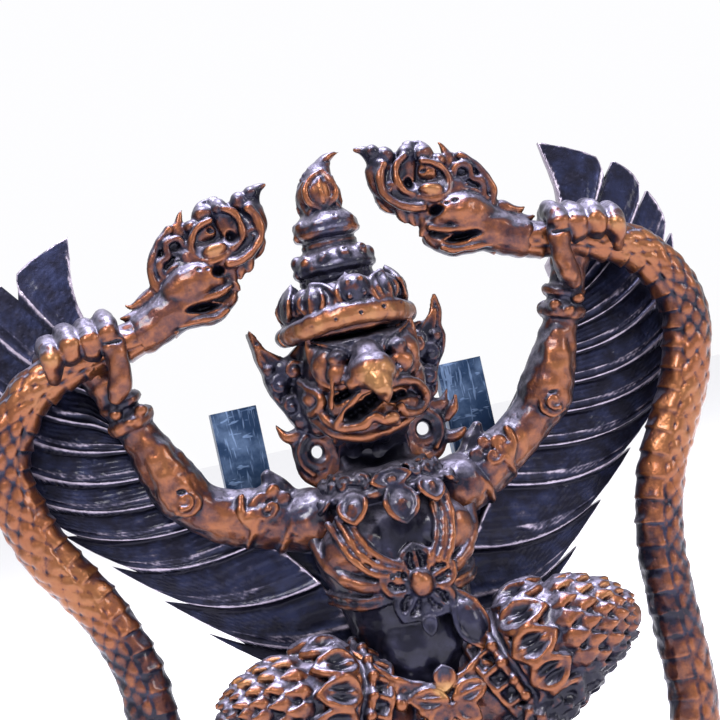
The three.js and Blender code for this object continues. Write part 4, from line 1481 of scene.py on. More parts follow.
    def fist(self, wax: Wax) -> None:
        """Palm, four bent fingers with round knuckles, and the thumb down the inside."""
        wax.ball((34.8, -1, 82.6), (5.4, 3, 3.6), facets=(24, 16))
        wax.rod([(31.4, -1.6, 78, 2.4), (32.2, -1.6, 80.4, 2.8), (33.4, -1.4, 82.4, 3)], sides=18)
        for i, (x, z) in enumerate(self.knuckles):
            wax.rod(
                [(x + 0.3, 1, z - 0.4, 1.3), (x + 0.2, -2, z + 1.6, 1.45), (x + 0.1, -5, z + 1.2, 1.5),
                 (x, -6.8, z - 0.4, 1.5), (x, -6.4, z - 1.9, 1.2), (x + 0.1, -4.8, z - 3, 1)],
                sides=16, steps=4, facing=(1, 0, 0),
            )
            wax.ball((x, -7.2, z - 0.3), (1.35, 1.25, 1.35), facets=(18, 12))
            wax.ball((x + 0.1, -4.4, z + 1.8), (1.2, 1.4, 1.1))
            wax.rubbed(((x, -8, z - 0.2), 2.1, 0.05 + 0.12 * i), ((x, -3, z + 2.6), 2.6, -0.15))
        # Pushes the hollow under the fingers back and darkens it with painted shade.
        wax.press((34.6, -6.2, 81.2), (5, 3, 1.4), (0, 1.2, 0), 1)
        wax.rod(
            [(30.6, -5.4, 84.8, 1.3), (29.9, -6.6, 83.6, 1.6), (29.6, -6.8, 81.6, 1.55), (29.7, -6.6, 79.4, 1.5),
             (30.2, -6.2, 77.6, 1.6), (30.9, -5.6, 76.4, 1)], sides=18, steps=4,
        )
        wax.press((29.8, -8.2, 83.4), (1.8, 1.2, 0.4), (0, 0.5, 0), 0.8)
        wax.press((34, -1.5, 88), (7, 5.5, 3.2), (0, 0, 0), 0.5)

    def model(self, side: int) -> Wax:
        """Models both arms."""
        wax = Wax.worked(self.limb, self.armlet, self.elbow, self.bracelets, self.fist)
        wax.twin()
        wax.lean(13, 22, outward=True)
        return wax


@dataclass(frozen=True)
class NagaBody(Assembly):
    """A naga's body, from the fist down beside the wing to the coil on the plinth."""

    label = "naga_body"
    skinned = False
    pebble: float = 3.0  # parts along the body from one scale to the next in its row
    around: int = 9  # scales round the body
    rows: int = 640
    sides: int = 84
    casting: Casting = Casting(grain=0.22, limit=74_000, seed=2, lumps=0.22, bias=-0.36)
    stations: tuple[Row, ...] = (
        (20, -3.6, 86, 2.4), (26, -3.6, 83.6, 2.4), (34.6, -3.4, 81.8, 2.5), (41.8, -2.6, 78.6, 2.9),
        (46.2, -1.6, 70.5, 3.1), (43.9, -1, 60.2, 3.2), (38.5, -1, 50, 3.15), (35.9, -1.2, 40, 3.15),
        (35.6, -1.4, 29, 3.3), (35.3, -1.8, 17.4, 3.3), (31.8, -3, 7.6, 3.2), (24, -5.4, 3.4, 3), (15, -7.6, 2.9, 2.5),
        (7, -8.8, 2.6, 1.7), (2, -9.6, 4.4, 0.5),
    )
    # x, z, radius and amount of each place that is rubbed more or less
    handled: Rows = ((41, 81, 7, 0.3), (47, 71, 7, -0.25), (42, 55, 11, 0.3), (37, 36, 13, -0.3), (36, 24, 11, -0.1))

    def model(self, side: int) -> Wax:
        """Models one body along its line."""
        line = smooth_line(self.stations, 24)
        length = lengths_along(line[:, :3])
        rows, sides = ((self.rows, self.sides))
        wax = Wax()
        layer = wax.bm.verts.layers.float.new("pebble")
        verts, u, v = wax.sheet(rows, sides)
        reach = u * length[-1]
        station = looked_up(reach, length, line)
        fine = np.linspace(0, length[-1], 600)
        frames = frames_along(looked_up(fine, length, line[:, :3]), FRONT)
        across, front = (looked_up(reach, fine, one) for one in frames)
        turn = TURN * v
        height, bright = self.relief(reach, turn)
        ends = np.clip(np.minimum(reach, length[-1] - reach) / 0.8, 0, 1) ** 0.5
        radius = station[:, 3] * ends + height * ends
        sideways, frontward = np.cos(turn) * radius, np.sin(turn) * radius * 0.94
        places = station[:, :3] + across * sideways[:, None] + front * frontward[:, None]
        places[:, 0] *= side
        wax.put(verts, places)
        for vert, value in zip(verts, bright.tolist()):
            vert[layer] = value
        bmesh.ops.remove_doubles(wax.bm, verts=verts, dist=WELD)
        for x, z, radius, amount in self.handled:
            wax.rub((side * x, -5, z), radius, amount)
        if side < 0:
            wax.lean(30, 58)
        return wax

    def relief(self, reach: Array, turn: Array) -> tuple[Array, Array]:
        """The scales on the outer side and the plates down the inner side.

        Args:
            reach: Parts along the body.
            turn: The angle round it, 0 being inwards and a quarter turn the front.

        Returns:
            The height and how rubbed it is.
        """
        inner = np.abs((turn + np.pi) % TURN - np.pi) / np.pi  # 0 at the inner side, 1 at the outer
        start = smoothstep(6, 24, reach)
        a = reach / self.pebble
        b = turn / TURN * self.around
        best = np.full(len(reach), 9.0)
        for shift in (0, 0.5):
            da = (a + shift) % 1.0 - 0.5
            db = (b + shift) % 1.0 - 0.5
            best = np.minimum(best, np.sqrt((da * 1.75) ** 2 + (db * 1.75) ** 2))
        dome = np.sqrt(np.clip(1.0 - best**2, 0, 1))
        worn = 1 - 0.55 * smoothstep(48, 80, reach)
        scales = (dome * 0.9 - 0.5) * (0.3 + 0.5 * start) * worn
        step = (reach / self.pebble) % 1.0
        plates = (0.42 * step**2 - 0.35 * smoothstep(0.88, 0.96, step)) * worn
        edge = 0.33 + 0.15 * smoothstep(30, 60, reach)
        belly = 1.0 - smoothstep(-0.04, 0.03, inner - edge)
        ledge = np.exp(-(((inner - edge - 0.01) / 0.03) ** 2)) * -0.2
        ripple = 0.12 * np.sin(turn * 3 + reach * 0.7)
        bright = (0.1 + 0.75 * dome**2) * (1 - belly) + (0.35 + 0.4 * np.sin(np.pi * step) ** 0.5) * belly
        bright = bright * (0.72 + 0.28 * worn)
        return (scales * (1 - belly) + (plates + ripple * 0.4) * belly + ledge) * 0.9, bright


@dataclass(frozen=True)
class NagaHead(Assembly):
    """A naga's head, turned in towards the crown: trunk-like snout, round eye, jaws, and a curled crest."""

    label = "naga_head"
    casting: Casting = Casting(grain=0.2, limit=38_000, seed=6, lumps=0.2)

    def jaws(self, wax: Wax) -> None:
        """Neck, smooth cheek, snout and lower jaw."""
        wax.rod(
            [(25.6, -3.6, 83.8, 2.7, 2.6), (22.6, -3.7, 85.2, 2.9, 2.7), (19.6, -3.8, 87, 3.4, 2.8),
             (17, -3.6, 89.6, 3.6, 2.4)], sides=20,
        )
        wax.rod(
            [(14.6, -4.4, 88.4, 1, 1.6), (16.2, -5, 89.2, 2, 2), (18.4, -5.2, 88.8, 2.5, 2.1),
             (20.6, -4.8, 87.8, 2, 1.8), (22, -4.2, 86.6, 0.9, 1.2)], sides=20,
        )
        wax.rod(
            [(18, -3.6, 91.4, 3, 2.2), (13.8, -3.6, 91.2, 2.6, 2.2), (10.4, -3.7, 92.6, 2.3, 2),
             (8.6, -3.8, 95.4, 2.1, 1.7), (8.4, -3.8, 97.8, 1.6, 1.3), (7, -3.7, 99.4, 0.8, 0.7),
             (5.8, -3.7, 99.8, 0.25, 0.25)], sides=18,
        )
        wax.rod(
            [(21.4, -3.8, 84.6, 1.7, 1.8), (18.6, -3.8, 84.8, 1.6, 1.8), (15.6, -3.8, 84.8, 1.5, 1.6),
             (13.6, -3.8, 85.8, 0.9, 1.1), (12.8, -3.9, 87, 0.5, 0.6), (13.4, -4, 87.6, 0.3, 0.3)], sides=14,
        )
        wax.rope(
            [(21.6, -5.4, 85.2), (19.6, -5.6, 86.4), (17, -5.8, 86.6), (14.8, -5.6, 86.9), (13.2, -5.2, 87.6)], 0.5,
        )
        wax.rope([(20.8, -5.4, 83.8), (18.4, -5.6, 83.9), (15.8, -5.4, 83.9), (14.2, -5, 84.6)], 0.45)
        wax.ball((15.6, -3.2, 86.2), (3.4, 1.2, 1.7))
        wax.plate(
            [(7.2, 92.4), (9.2, 90.4), (13, 90), (16, 90.6), (17.4, 94.6), (15.8, 97.4), (14.6, 98.6), (12.4, 98.9),
             (11.2, 98.4), (9.4, 98.9), (7.8, 97.6)], -2.6, -3.9,
        )
        for x, z, size in (
            (8, 99, 1), (9.6, 98.2, 1.3), (12.4, 98, 1.2), (14.6, 97.6, 1.2), (10.6, 95.6, 1.3), (16.6, 96.2, 0.9),
        ):
            wax.ball((x, -4.2, z), (size, 1.2, size))
        wax.press((17.2, -6.4, 85.5), (3, 3, 0.75), (0, 2, 0), 1)
        wax.press((14.4, -6.4, 89.6), (1.1, 2.6, 0.9), (0, 1.6, 0), 1)
        for x, z in ((17, 90.4), (19.4, 90.6), (15.8, 90.2)):
            wax.press((x, -7, z), (0.5, 0.9, 0.4), (0, 0.35, 0), 0.6)
        wax.rub((18.4, -7.2, 88.8), 4.4, 0.14)

    def face(self, wax: Wax) -> None:
        """The ridged lip along the snout, its flame lobes, the eye and the hollows round it."""
        wax.rope(
            [(12.9, -5.6, 90.4), (11, -6, 90.6), (9.2, -6, 91.6), (8, -5.8, 93.4), (8, -5.6, 95.4), (8.8, -5.4, 97)],
            0.66,
        )
        wax.rope([(11.8, -5.6, 92.2), (10.6, -5.8, 93.2), (10.2, -5.6, 95), (10.8, -5.4, 96.8), (12, -5.2, 97.6)], 0.5)
        wax.curl((8.9, -5.4, 93.4), 0.9, 0.4, turns=1, start=180, hand=-1)
        wax.rod(
            [(11.4, -3.8, 94.6, 1.6, 1.3), (12.2, -3.8, 97.2, 1.5, 1.2), (13.2, -3.8, 98.8, 0.8, 0.8),
             (12.4, -3.8, 99.4, 0.2, 0.2)], sides=10,
        )
        wax.rod(
            [(15, -3.8, 94.8, 1.6, 1.2), (15.2, -3.8, 97, 1.1, 1), (14.6, -3.8, 98.8, 0.6, 0.6),
             (13.4, -3.8, 99.2, 0.25)], sides=10,
        )
        wax.ball((14.4, -5.8, 92.5), (1.65, 1, 0.95), turn=(0, 12, 0), facets=(20, 14))
        wax.rope(
            [(12.5, -5.4, 91.8), (14.6, -5.9, 91.1), (16.5, -5.5, 91.8), (17.2, -5.2, 93.4), (16.6, -5.2, 95),
             (15.4, -5.4, 96), (14, -5.4, 96.4)], 0.5,
        )
        wax.rope([(16.6, -5.2, 91.4), (18.4, -5.2, 91.6), (20.4, -4.8, 91.2), (21.8, -4.4, 90)], 0.45)
        wax.press((11.9, -6.2, 93.9), (1.1, 2.2, 1.2), (0, 1.6, 0), 1.2)
        wax.press((13.9, -5.8, 95.2), (1.2, 1.8, 0.7), (0, 1.2, 0), 1)
        wax.rubbed(
            ((14.4, -6.8, 92.4), 1.9, 0.4), ((8.6, -4.6, 99.4), 3.6, -0.5), ((13, -4.6, 98.8), 3.2, -0.4),
            ((21, -4.6, 93.6), 4, -0.3),
        )
        for x, z in ((12.6, 88.7), (11.2, 89.4), (10, 90)):
            wax.rod([(x, -4.2, z + 0.6, 0.7), (x + 0.1, -4.2, z - 0.5, 0.6), (x + 0.4, -4.2, z - 1.2, 0.2)])
        wax.rod([(13.8, -4.2, 88.4, 1), (12.6, -4.2, 87.6, 0.7), (12, -4.2, 86.8, 0.25)])

    def crest(self, wax: Wax) -> None:
        """The crest behind the eye: curled locks and spikes that lie back along the neck."""
        wax.plate(
            [(15.6, 95.6), (17.4, 95.4), (18.2, 97), (19.6, 96.6), (21.4, 94.8), (23, 92.2), (23.2, 89.8), (24.6, 88),
             (22, 86.6), (18.4, 88.6), (16.4, 91.6)], -2.4, -4.2,
        )
        wax.rope(
            [(17.6, -4.6, 93), (18.6, -4.9, 94.9), (20.2, -4.8, 94.6), (20.4, -4.8, 93), (21.4, -4.7, 92.4),
             (21.6, -4.6, 91), (20.8, -4.5, 90)], 0.55,
        )
        wax.rope(
            [(19.4, -4.3, 96.4), (21.2, -4.4, 94.8), (22.6, -4.4, 92.4), (22.9, -4.3, 90.2), (21.9, -4.3, 88.2)], 0.6,
        )
        wax.rod([(18, -3.6, 95.6, 0.8), (18, -3.6, 96.8, 0.7), (17.6, -3.6, 98, 0.35), (17.2, -3.6, 98.6, 0.15)])
        wax.rod([(16.6, -3.8, 93, 0.9, 0.8), (16.8, -3.8, 95, 0.8, 0.8), (17.3, -3.8, 96, 0.4)])
        wax.rod([(23.4, -3.6, 88.6, 1, 1), (24.8, -3.6, 88, 0.8), (26.2, -3.6, 87.6, 0.35), (26.9, -3.6, 87.9, 0.12)])
        wax.rod([(24.8, -3.6, 86.4, 1, 1), (26.6, -3.6, 86.2, 0.7), (28, -3.6, 86.4, 0.2)])
        wax.curl((19.2, -4.6, 92.2), 1.1, 0.42, turns=1.1, start=120, hand=-1)

    def model(self, side: int) -> Wax:
        """Models one head."""
        wax = Wax.worked(self.jaws, self.face, self.crest)
        if side < 0:
            wax.mirror()
            wax.lean(50, 60)
        return wax


@dataclass(frozen=True)
class Fan:
    """A fan of overlapping feathers, from a root line, bowed by a bow line, to tips of their own."""

    root: tuple[Row, ...]
    bow: tuple[Row, ...]
    tips: tuple[Row, ...]
    edges: tuple[float, ...]
    thickness: float
    relief: float
    notch: float
    columns: int = 110
    places: int = 14  # faces across each feather
    point_at: float = 0.16  # the share across each feather at which it ends in a point
    broad: int = 0  # how many of the first feathers stay broad to their ends

    def point(self, u: Array, v: Array, level: float) -> Array:
        """Places on the fan.

        Args:
            u: The share from root to tip.
            v: The share across all its feathers.
            level: -1 for the front, 1 for the back.

        Returns:
            The places, in parts.
        """
        count = len(self.edges) - 1
        spot = v * count
        feather = np.minimum(np.floor(spot), count - 1)
        t = spot - feather
        broad = feather < self.broad
        tip = feather + self.point_at + (t - self.point_at) * np.where(broad, 0.93, 0.7)
        ends = [0, self.point_at * 0.5, self.point_at, 0.3 + self.point_at * 0.7, 0.6 + self.point_at * 0.4, 0.85, 1]
        sharp, blunt = (
            np.interp(t, ends, row) for row in ([0, 0.8, 1, 0.84, 0.6, 0.3, 0], [0, 0.8, 1, 1, 0.97, 0.85, 0])
        )
        notch = self.notch - 0.09 * smoothstep(5, 8, feather)
        reach = notch + (1 - notch) * np.where(broad, blunt, sharp)
        curves = []
        for places, at in ((self.root, spot), (self.bow, spot), (self.tips, tip)):
            line = smooth_line(places, 24)
            stops = np.linspace(0, 1, len(line))
            share = np.interp(at, np.arange(count + 1), self.edges)
            curves.append(looked_up(share, stops, line))
        s = (u * reach)[:, None]
        spots = (1 - s) ** 2 * curves[0] + 2 * s * (1 - s) * curves[1] + s**2 * curves[2]
        taper = 1 - 0.65 * u * reach
        if level < 0:
            lip = np.interp(
                t, [0, 0.1, 0.5, 0.6, 0.66, 0.7, 0.75, 0.84, 0.9, 0.945, 0.975, 1],
                [0, 0.12, 0.45, 0.52, 0.68, 0.7, 0.6, 0.64, 0.8, 1.12, 0.9, 0],
            )
            barb = 0.01 * np.sin(TURN * (u * 20 + t * 1.6)) * smoothstep(0.15, 0.4, u)
            vein = 0.03 * np.sin(TURN * t * 6 + 3 * np.sin(u * 9))
            lift = -self.thickness / 2 - self.relief * (lip + barb + vein)
        else:
            shaft = np.interp(t, [0, 0.1, 0.45, 0.5, 0.55, 0.9, 1], [-0.35, 0, 0.1, 0.4, 0.1, 0, -0.35])
            lift = self.thickness / 2 + 0.8 * shaft
        spots[:, 1] += lift * taper
        return spots

    def model(self, wax: Wax, side: int = 1) -> None:
        """Adds the fan to wax as one closed body, with a painted highlight along each feather's front.

        Args:
            wax: Where it is added.
            side: -1 for the other side's copy.
        """
        columns = self.columns
        count = (len(self.edges) - 1) * self.places
        layer = wax.bm.verts.layers.float.get("pebble") or wax.bm.verts.layers.float.new("pebble")
        for level in (-1, 1):
            verts, u, v = wax.sheet(columns, count, alone=level < 0)
            places = self.point(u, v, level)
            places[:, 0] *= side
            wax.put(verts, places)
            across = v * (len(self.edges) - 1) % 1
            # A painted highlight: a pale line along each feather's front, kept in the pebble layer so that it shows as
            # bright wear.
            painted_ridge_highlight = np.exp(-(((across - 0.81) / 0.1) ** 2)) * smoothstep(0.1, 0.4, u) * smoothstep(0.95, 0.6, u)
            painted_ridge_highlight *= (level < 0) * (0.36 + 0.06 * np.sin(TURN * (u * 21 + across)))
            for vert, value in zip(verts, painted_ridge_highlight.tolist()):
                vert[layer] = value
        rim = [edge for edge in wax.bm.edges if edge.is_boundary]
        bmesh.ops.bridge_loops(wax.bm, edges=rim)


@dataclass(frozen=True)
class Wing(Assembly):
    """A wing: long feathers that fan from the shoulder blade up to the tip and down to the hip."""

    label = "wing"
    skinned = False
    fan: Fan = Fan(
        root=((30, 3, 80), (30.5, 3, 77), (30.5, 3, 73.5), (29, 3, 69.5), (26.5, 3, 64), (22.5, 3, 58), (15, 3, 51),
              (8, 3.2, 41), (2, 3.4, 29)),
        bow=((36, 3.4, 86.5), (38, 3.6, 84), (41, 3.8, 77), (42, 4, 70), (41, 4.2, 62.5), (37, 4.4, 55.5),
             (29, 4.6, 47), (20, 4.6, 38.6), (13, 4.6, 31)),
        tips=((32.4, 5, 97.2), (42.6, 5, 92.6), (47, 5, 87.2), (49.2, 5, 79.5), (48.2, 5, 70), (44, 5, 61),
              (36, 5, 52.4), (29, 5, 45), (23.4, 5, 38.2)),
        edges=(0, 0.125, 0.24, 0.35, 0.43, 0.51, 0.585, 0.66, 0.735, 0.835, 0.935, 1),
        thickness=3, relief=1.8, notch=0.84, point_at=0.06, broad=3, places=18,
    )
    coverts: Fan = Fan(
        root=((5, 3.4, 54), (3.6, 3.4, 50), (2.4, 3.6, 42), (1.6, 3.6, 34), (1, 3.6, 28)),
        bow=((19, 3.8, 54.5), (16, 3.8, 50), (14, 4.2, 42), (9, 4.4, 36), (6, 4.4, 30)),
        tips=((28, 4, 74), (28, 4.4, 66), (23, 4.6, 54), (15, 4.8, 44), (12, 4.8, 36)),
        edges=tuple(i / 9 for i in range(10)), thickness=2.6, relief=0.6, notch=0.8, columns=40, places=10,
        point_at=0.5,
    )
    casting: Casting = Casting(grain=0.24, limit=74_000, seed=4, lumps=0.08, bias=-0.3)

    def model(self, side: int) -> Wax:
        """Models one wing."""
        wax = Wax()
        self.fan.model(wax, side)
        wax.clear_bench()
        self.coverts.model(wax, side)
        wax.rubbed(((side * 38, 3, 92), 10, -0.4), ((side * 12, 3, 46), 7, -0.8))
        if side < 0:
            for x, z in ((-29, 73), (-25, 66), (-21, 60)):
                wax.press((x, 3, z), (7, 8, 7), (-1, 0, -1.7), 0)
        return wax


@dataclass(frozen=True)
class Tail(Assembly):
    """The short tail feathers behind the legs."""

    label = "tail"
    skinned = False
    fan: Fan = Fan(
        root=((5, 1, 25), (0, 1, 26), (-5, 1, 25)),
        bow=((9, 3.4, 15), (0, 3.4, 17), (-9, 3.4, 15)),
        tips=((11, 4.4, 0.2), (0, 4.4, 0.2), (-11, 4.4, 0.2)),
        edges=(0, 0.2, 0.4, 0.6, 0.8, 1), thickness=3, relief=1, notch=0.94, columns=70, point_at=0.5,
    )
    casting: Casting = Casting(grain=0.4, limit=14_000, seed=9, lumps=0.08, bias=-0.3)

    def model(self, side: int) -> Wax:
        """Models the tail."""
        wax = Wax()
        self.fan.model(wax)
        return wax


@dataclass(frozen=True)
class Legs(Assembly):
    """Both bent legs in scaled and scrolled breeches, the feet on the coils, and the cloth panel."""

    label = "legs"
    casting: Casting = Casting(grain=0.24, limit=134_000, seed=7, lumps=0.2, bias=-0.02)
    thigh: tuple[Row, ...] = (
        (4, -1.6, 25, 6), (11, -4, 28.8, 7.6), (18, -7, 31.6, 7.2), (23.4, -8.6, 32.4, 5.2), (27, -9.2, 32.2, 2.2),
    )
    shin: tuple[Row, ...] = (
        (22.4, -8.4, 30.4, 2.6), (19, -8.6, 28, 3.8), (14.2, -8.6, 24.2, 3.8), (10.6, -8, 18.6, 3.4), (9, -7, 13, 3.3),
        (8.8, -6.4, 8, 2.4),
    )

    @staticmethod
    def on(stations: Rows, along: float, turn: float) -> tuple[Array, Array, Array]:
        """A place on a limb's surface.

        Args:
            stations: The limb's stations.
            along: The share of its length.
            turn: Degrees from the front towards the limb's upper side.

        Returns:
            The place, the direction outwards and the limb's heading.
        """
        line = smooth_line([row[:4] for row in stations], 12)
        across, front = frames_along(line[:, :3], FRONT)
        i = min(int(round(along * (len(line) - 1))), len(line) - 1)
        heading = unit(line[min(i + 1, len(line) - 1), :3] - line[max(i - 1, 0), :3])
        up = across[i] if across[i][2] > 0 else -across[i]
        out = math.cos(math.radians(turn)) * front[i] + math.sin(math.radians(turn)) * up
        return line[i, :3] + out * line[i, 3], out, heading

    def flesh(self, wax: Wax) -> None:
        """Thigh, shin and foot."""
        wax.rod(self.thigh, sides=32, steps=6)
        wax.rod(self.shin, sides=24, steps=6)
        for x in (6, 8.8, 11.6):
            wax.rod(
                [(8.8, -5.8, 8.4, 2.2), (x + 0.2, -8.8, 7.2, 1.5), (x, -10.8, 4.8, 1.3), (x, -11.8, 2.8, 0.9),
                 (x, -12, 0.9, 0.3)], sides=12, facing=(1, 0, 0),
            )
            for y, z in ((-8.4, 8.4), (-9.6, 7.6), (-10.8, 6.2)):
                wax.rope([(x - 1.1, y, z - 0.5), (x, y - 0.3, z + 0.35), (x + 1.1, y, z - 0.5)], 0.32, sides=6)

    def scales(self, wax: Wax) -> None:
        """Pointed scales over the knee and rows of small ones down the shin."""
        for row in range(5):
            along = 0.58 + 0.092 * row
            for k in range(-4, 6):
                turn = 23 * k + (11.5 if row % 2 else 0)
                spot, out, heading = self.on(self.thigh, along, turn)
                size = 2.3 - 0.2 * row + 0.15 * math.sin(5 * k + 3 * row)
                back, ahead = spot - heading * size * 0.8 - out * 0.3, spot + heading * size * 0.9
                wax.rod(
                    [(*back, size * 0.3, 0.5), (*(spot + out * 0.35), size * 0.62, 0.62),
                     (*(ahead + out * 0.1), size * 0.12, 0.3)], steps=2, facing=out,
                )
        for row in range(9):
            along = 0.24 + 0.075 * row
            for k in range(-3, 4):
                turn = 26 * k + (13 if row % 2 else 0)
                spot, out, heading = self.on(self.shin, along, turn)
                back, ahead = spot - heading * 1.1 - out * 0.3, spot + heading * 1.3
                wax.rod([(*back, 0.4, 0.4), (*(spot + out * 0.25), 0.85, 0.5), (*ahead, 0.2, 0.3)], steps=1, facing=out)

    def breeches(self, wax: Wax) -> None:
        """The breeches' scrolled and beaded bands, the scalloped garter, and painted shade under the knees."""
        for along, size in ((0.19, 0.5), (0.30, 0.6), (0.35, 0.45)):
            ring = [self.on(self.thigh, along, turn) for turn in range(-100, 110, 15)]
            wax.rope([spot + out * 0.35 for spot, out, _ in ring], size)
        for turn in range(-90, 100, 18):
            bar = [self.on(self.thigh, along, turn) for along in (0.19, 0.245, 0.30)]
            wax.rope([spot + out * 0.4 for spot, out, _ in bar], 0.42)
            wax.ball(bar[2][0] + bar[2][1] * 0.7, (0.8, 0.8, 0.8), facets=(12, 8))
            spot, out, _ = self.on(self.thigh, 0.245, turn + 9)
            wax.press(spot, (1.1, 1.1, 1.1), -0.5 * out, 1)
        for turn in range(-96, 104, 28):
            spots = [self.on(self.thigh, along, turn) for along in (0.35, 0.43, 0.53)]
            root, tip = (spot + out * 0.35 for spot, out, _ in (spots[0], spots[2]))
            wax.leaf(root, tip, 2, spots[1][1], rim=0.62, thick=0.3, bow=0.9, rib=0.4)
            wax.press(spots[1][0] + spots[1][1], (1.9, 1.9, 1.9), -0.7 * spots[1][1], 0.9)
        for along in (0.14, 0.88):
            ring = [self.on(self.shin, along + 0.06, turn) for turn in range(-180, 180, 24)]
            wax.rope([spot + out * 0.3 for spot, out, _ in ring], 0.6, steps=2, closed=True)
        for turn in range(-80, 100, 32):
            spot, out, heading = self.on(self.shin, 0.9, turn)
            wax.leaf(spot + out * 0.3, spot + out * 0.6 - heading * 3, 1.1, out, rim=0.36, rib=0.25)
        wax.rubbed(((12, -11.5, 33), 5, 0.25), ((22, -9.5, 37), 8, 0.4))
        # Painted shade under the knees: darkened only, not moved.
        for x, z in ((16, 23), (20.5, 25), (25, 27), (29, 28.5)):
            wax.press((x, -11, z), (5.5, 7, 4.5), (0, 0, 0), 1)

    def panel(self, wax: Wax) -> None:
        """The cloth panel that hangs between the legs, edged and tasselled."""
        wax.rod(
            [(0, -6.6, 29, 2.6, 1), (0, -8.2, 22, 3.4, 1.1), (0, -8.4, 12, 4, 1.1), (0, -8.8, 5, 3.4, 1.2),
             (0, -9.2, 0.2, 2, 1)], sides=16, steps=5,
        )
        for s in (-1, 1):
            wax.rope(
                [(s * 2.4, -7.6, 28), (s * 3.2, -9, 22), (s * 3.8, -9.2, 12), (s * 3.2, -9.6, 5), (s * 1.4, -10, 0.8)],
                0.45, sides=7,
            )
            for z in range(4, 27, 3):
                wax.curl((s * 1.5, -9.7 + 0.02 * z, z), 1.1, 0.34, turns=1.1, start=90, hand=s)
        wax.beads([(0, -9.1, 27), (0, -9.6, 20), (0, -9.8, 12), (0, -10.2, 5), (0, -10.3, 1.4)], 0.5, 18)

    def model(self, side: int) -> Wax:
        """Models both legs, and the panel between them."""
        wax = Wax.worked(self.flesh, self.scales, self.breeches)
        wax.twin()
        self.panel(wax)
        wax.press((-22, -6, 36), (16, 16, 13), (0, 0, -1.8), 0)
        return wax


@dataclass(frozen=True)
class Plinth(Assembly):
    """The low plinth: a long round-ended block with a foot, a waist and a ring of lotus petals."""

    label = "plinth_cast"
    stands_for = "plinth"
    slot = Slot.DARK_BRONZE
    half_width: float = 35.7  # parts, at the top
    half_depth: float = 14.7
    height: float = 7.31
    squareness: float = 0.45
    petals: int = 56
    casting: Casting = Casting(grain=0.4, limit=46_000, seed=12, lumps=0.08, bias=-0.15, floor=-7.317)

    def rim(self, turn: float, out: float, z: float) -> tuple[float, float, float]:
        """A place on the plinth's outline.

        Args:
            turn: Radians round it.
            out: Parts outside the top's outline.
            z: The height, in parts below the figure.

        Returns:
            The place.
        """
        s, c = math.sin(turn), math.cos(turn)
        return (
            math.copysign(abs(s) ** self.squareness, s) * (self.half_width + out),
            -math.copysign(abs(c) ** self.squareness, c) * (self.half_depth + out),
            z,
        )

    def model(self, side: int) -> Wax:
        """Models the plinth."""
        wax = Wax()
        low = -self.height
        levels = [
            (0, 0, low), (0.6, 1.7, low), (0.97, 1.7, low), (1, 1.71, low + 0.15), (1, 1.71, low + 1.3),
            (1, 1.3, low + 1.6), (1, -0.6, low + 1.9), (1, -1.6, -4.6), (1, -1.95, -3.6), (1, -1.6, -2.6),
            (1, -0.4, -1.6), (1, 0, -1.2), (1, 0, -0.2), (0.99, -0.1, 0), (0.6, 0, 0), (0, 0, 0),
        ]
        verts, u, v = wax.sheet(96, len(levels) - 1)
        places = []
        for share, row in zip(u, np.rint(v * (len(levels) - 1)).astype(int)):
            shrink, out, z = levels[row]
            x, y, z = self.rim(TURN * share, out, z)
            places.append((x * shrink, y * shrink, z))
        wax.put(verts, np.array(places))
        bmesh.ops.remove_doubles(wax.bm, verts=verts, dist=WELD)
        outline = np.array([self.rim(t, 0.0, 0.0)[:2] for t in np.linspace(0, TURN, 721)])
        length = lengths_along(outline)
        for stop in (np.arange(self.petals) + 0.5) / self.petals * length[-1]:
            x, y = looked_up(stop, length, outline).tolist()
            heading = unit(looked_up((stop + 0.4) % length[-1], length, outline) - [x, y])
            out = np.array([heading[1], -heading[0]])
            out = out if out.dot([x, y]) > 0 else -out
            foot = (x + 0.9 * out[0], y + 0.9 * out[1], low + 1.7)
            tip = (x + 0.35 * out[0], y + 0.35 * out[1], -1.5)
            wax.leaf(foot, tip, 1.5, (*out, 0.1), rim=0.34, thick=0.7, bow=0.25, rib=0.2, belly=0.45)
        for z, out in ((low + 1.5, 1.4), (-1.1, 0)):
            ring = [self.rim(t, out, z) for t in even_turns(96)]
            wax.rope(ring, 0.3, closed=True, steps=1)
        return wax


@dataclass(frozen=True)
class BackStrips:
    """The flat steel strips behind the wings, which keep their solids."""

    names: tuple[str, ...] = ("back_strip_left", "back_strip_right")

    def dress(self, nodes: dict[str, Piece], steel: bpy.types.Material) -> None:
        """Gives the strips their finish.

        Args:
            nodes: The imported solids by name.
            steel: The finish.
        """
        for name in self.names:
            nodes[name].data.materials.clear()
            nodes[name].data.materials.append(steel)


@dataclass(frozen=True)
class Lamp:
    """A soft square light."""

    name: str
    place: Row  # metres
    size: float  # metres
    power: float  # watts
    tint: Tint

    def hang(self, aim: Row) -> None:
        """Adds the light to the scene.

        Args:
            aim: The place that it points at.
        """
        data = bpy.data.lights.new(self.name, "AREA")
        data.size = self.size
        data.energy = self.power
        data.color = self.tint
        lamp = bpy.data.objects.new(self.name, data)
        lamp.location = self.place
        lamp.rotation_euler = (Vector(aim) - Vector(self.place)).to_track_quat("-Z", "Y").to_euler()
        bpy.context.scene.collection.objects.link(lamp)


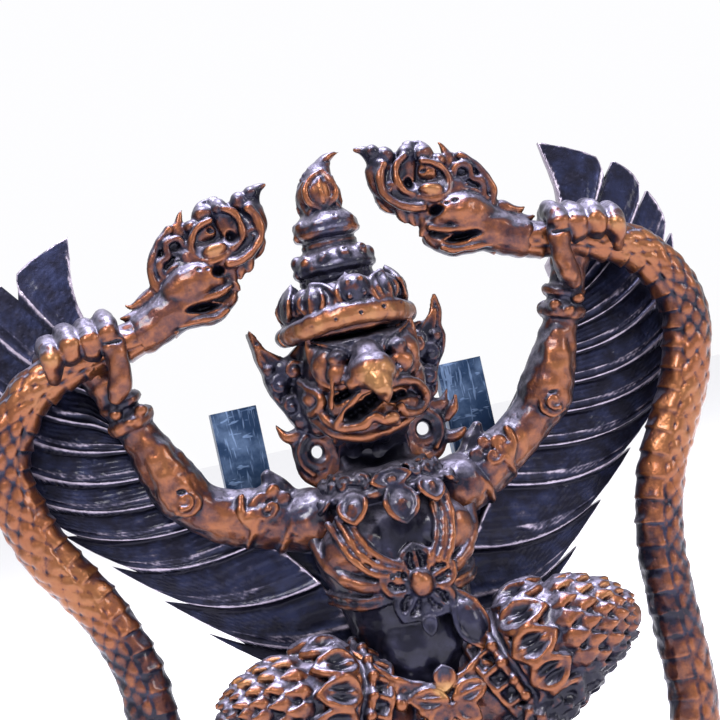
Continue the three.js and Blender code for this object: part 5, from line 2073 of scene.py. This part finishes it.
@dataclass(frozen=True)
class Studio:
    """The camera at the photograph's angle, a plain pale floor and soft lights."""

    azimuth: float = -10.25
    elevation: float = -1.4
    roll: float = -12.47
    distance: float = 0.115
    lens: float = 105.2
    target: Row = (0.00048, 0.0, 0.03274)
    floor: float = 3.0  # metres
    sky: Row = (0.985, 0.985, 1.0, 1.0)
    aim: Row = (0.0, 0.0, 0.024)
    lamps: tuple[Lamp, ...] = (
        Lamp("key", (-0.10, -0.20, 0.24), 0.09, 0.9, (1.0, 0.98, 0.96)),
        Lamp("fill", (0.24, -0.18, 0.12), 0.08, 0.35, (1.0, 0.97, 0.95)),
        Lamp("top", (0.02, -0.03, 0.30), 0.12, 2.4, (0.9, 0.88, 1.0)),
    )

    def camera(self) -> None:
        """Places the camera."""
        az, el, roll = (math.radians(a) for a in (self.azimuth, self.elevation, self.roll))
        back = Vector((math.sin(az) * math.cos(el), -math.cos(az) * math.cos(el), math.sin(el)))
        right = (-back).cross(Vector((0, 0, 1))).normalized()
        up = right.cross(-back)
        turned = math.cos(roll) * right + math.sin(roll) * up
        upright = -math.sin(roll) * right + math.cos(roll) * up
        data = bpy.data.cameras.new("camera")
        data.lens = self.lens
        data.sensor_width = 36.0
        data.clip_start = 0.005
        data.clip_end = 30.0
        camera = bpy.data.objects.new("camera", data)
        facing = Matrix((turned, upright, back)).transposed().to_4x4()
        camera.matrix_world = Matrix.Translation(Vector(self.target) + back * self.distance) @ facing
        bpy.context.scene.collection.objects.link(camera)
        bpy.context.scene.camera = camera

    def build(self) -> None:
        """Sets up the camera, the floor, the world and the lights."""
        self.camera()
        wax = Wax()
        bmesh.ops.create_circle(wax.bm, cap_ends=True, radius=self.floor, segments=96)
        floor = wax.object("floor")
        floor.data.materials.append(PalePaper().material())
        world = bpy.data.worlds.new("studio")
        world.use_nodes = True
        world.node_tree.nodes["Background"].inputs["Color"].default_value = self.sky
        world.node_tree.nodes["Background"].inputs["Strength"].default_value = 1.0
        bpy.context.scene.world = world
        bpy.context.scene.view_settings.view_transform = "Standard"
        for lamp in self.lamps:
            lamp.hang(self.aim)


def main() -> None:
    """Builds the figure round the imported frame."""
    logging.basicConfig(level=logging.INFO, format="%(relativeCreated)6d %(name)s %(message)s")
    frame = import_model()
    Studio().build()
    bronze = PatinatedBronze().material()
    for part in (Head(), Crown(), Torso(), Arms(), Legs(), Tail()):
        part.dress(part.build(), bronze)
    black = BLACKENED.material()
    for side in (1, -1):
        for part, material in ((NagaBody(), bronze), (NagaHead(), bronze), (Wing(), black)):
            part.dress(part.build(side), material)
    Plinth().dress(Plinth().build(), DULL.material())
    BackStrips().dress(frame["nodes"], ScratchedSteel().material())


if __name__ == "__main__":
    main()
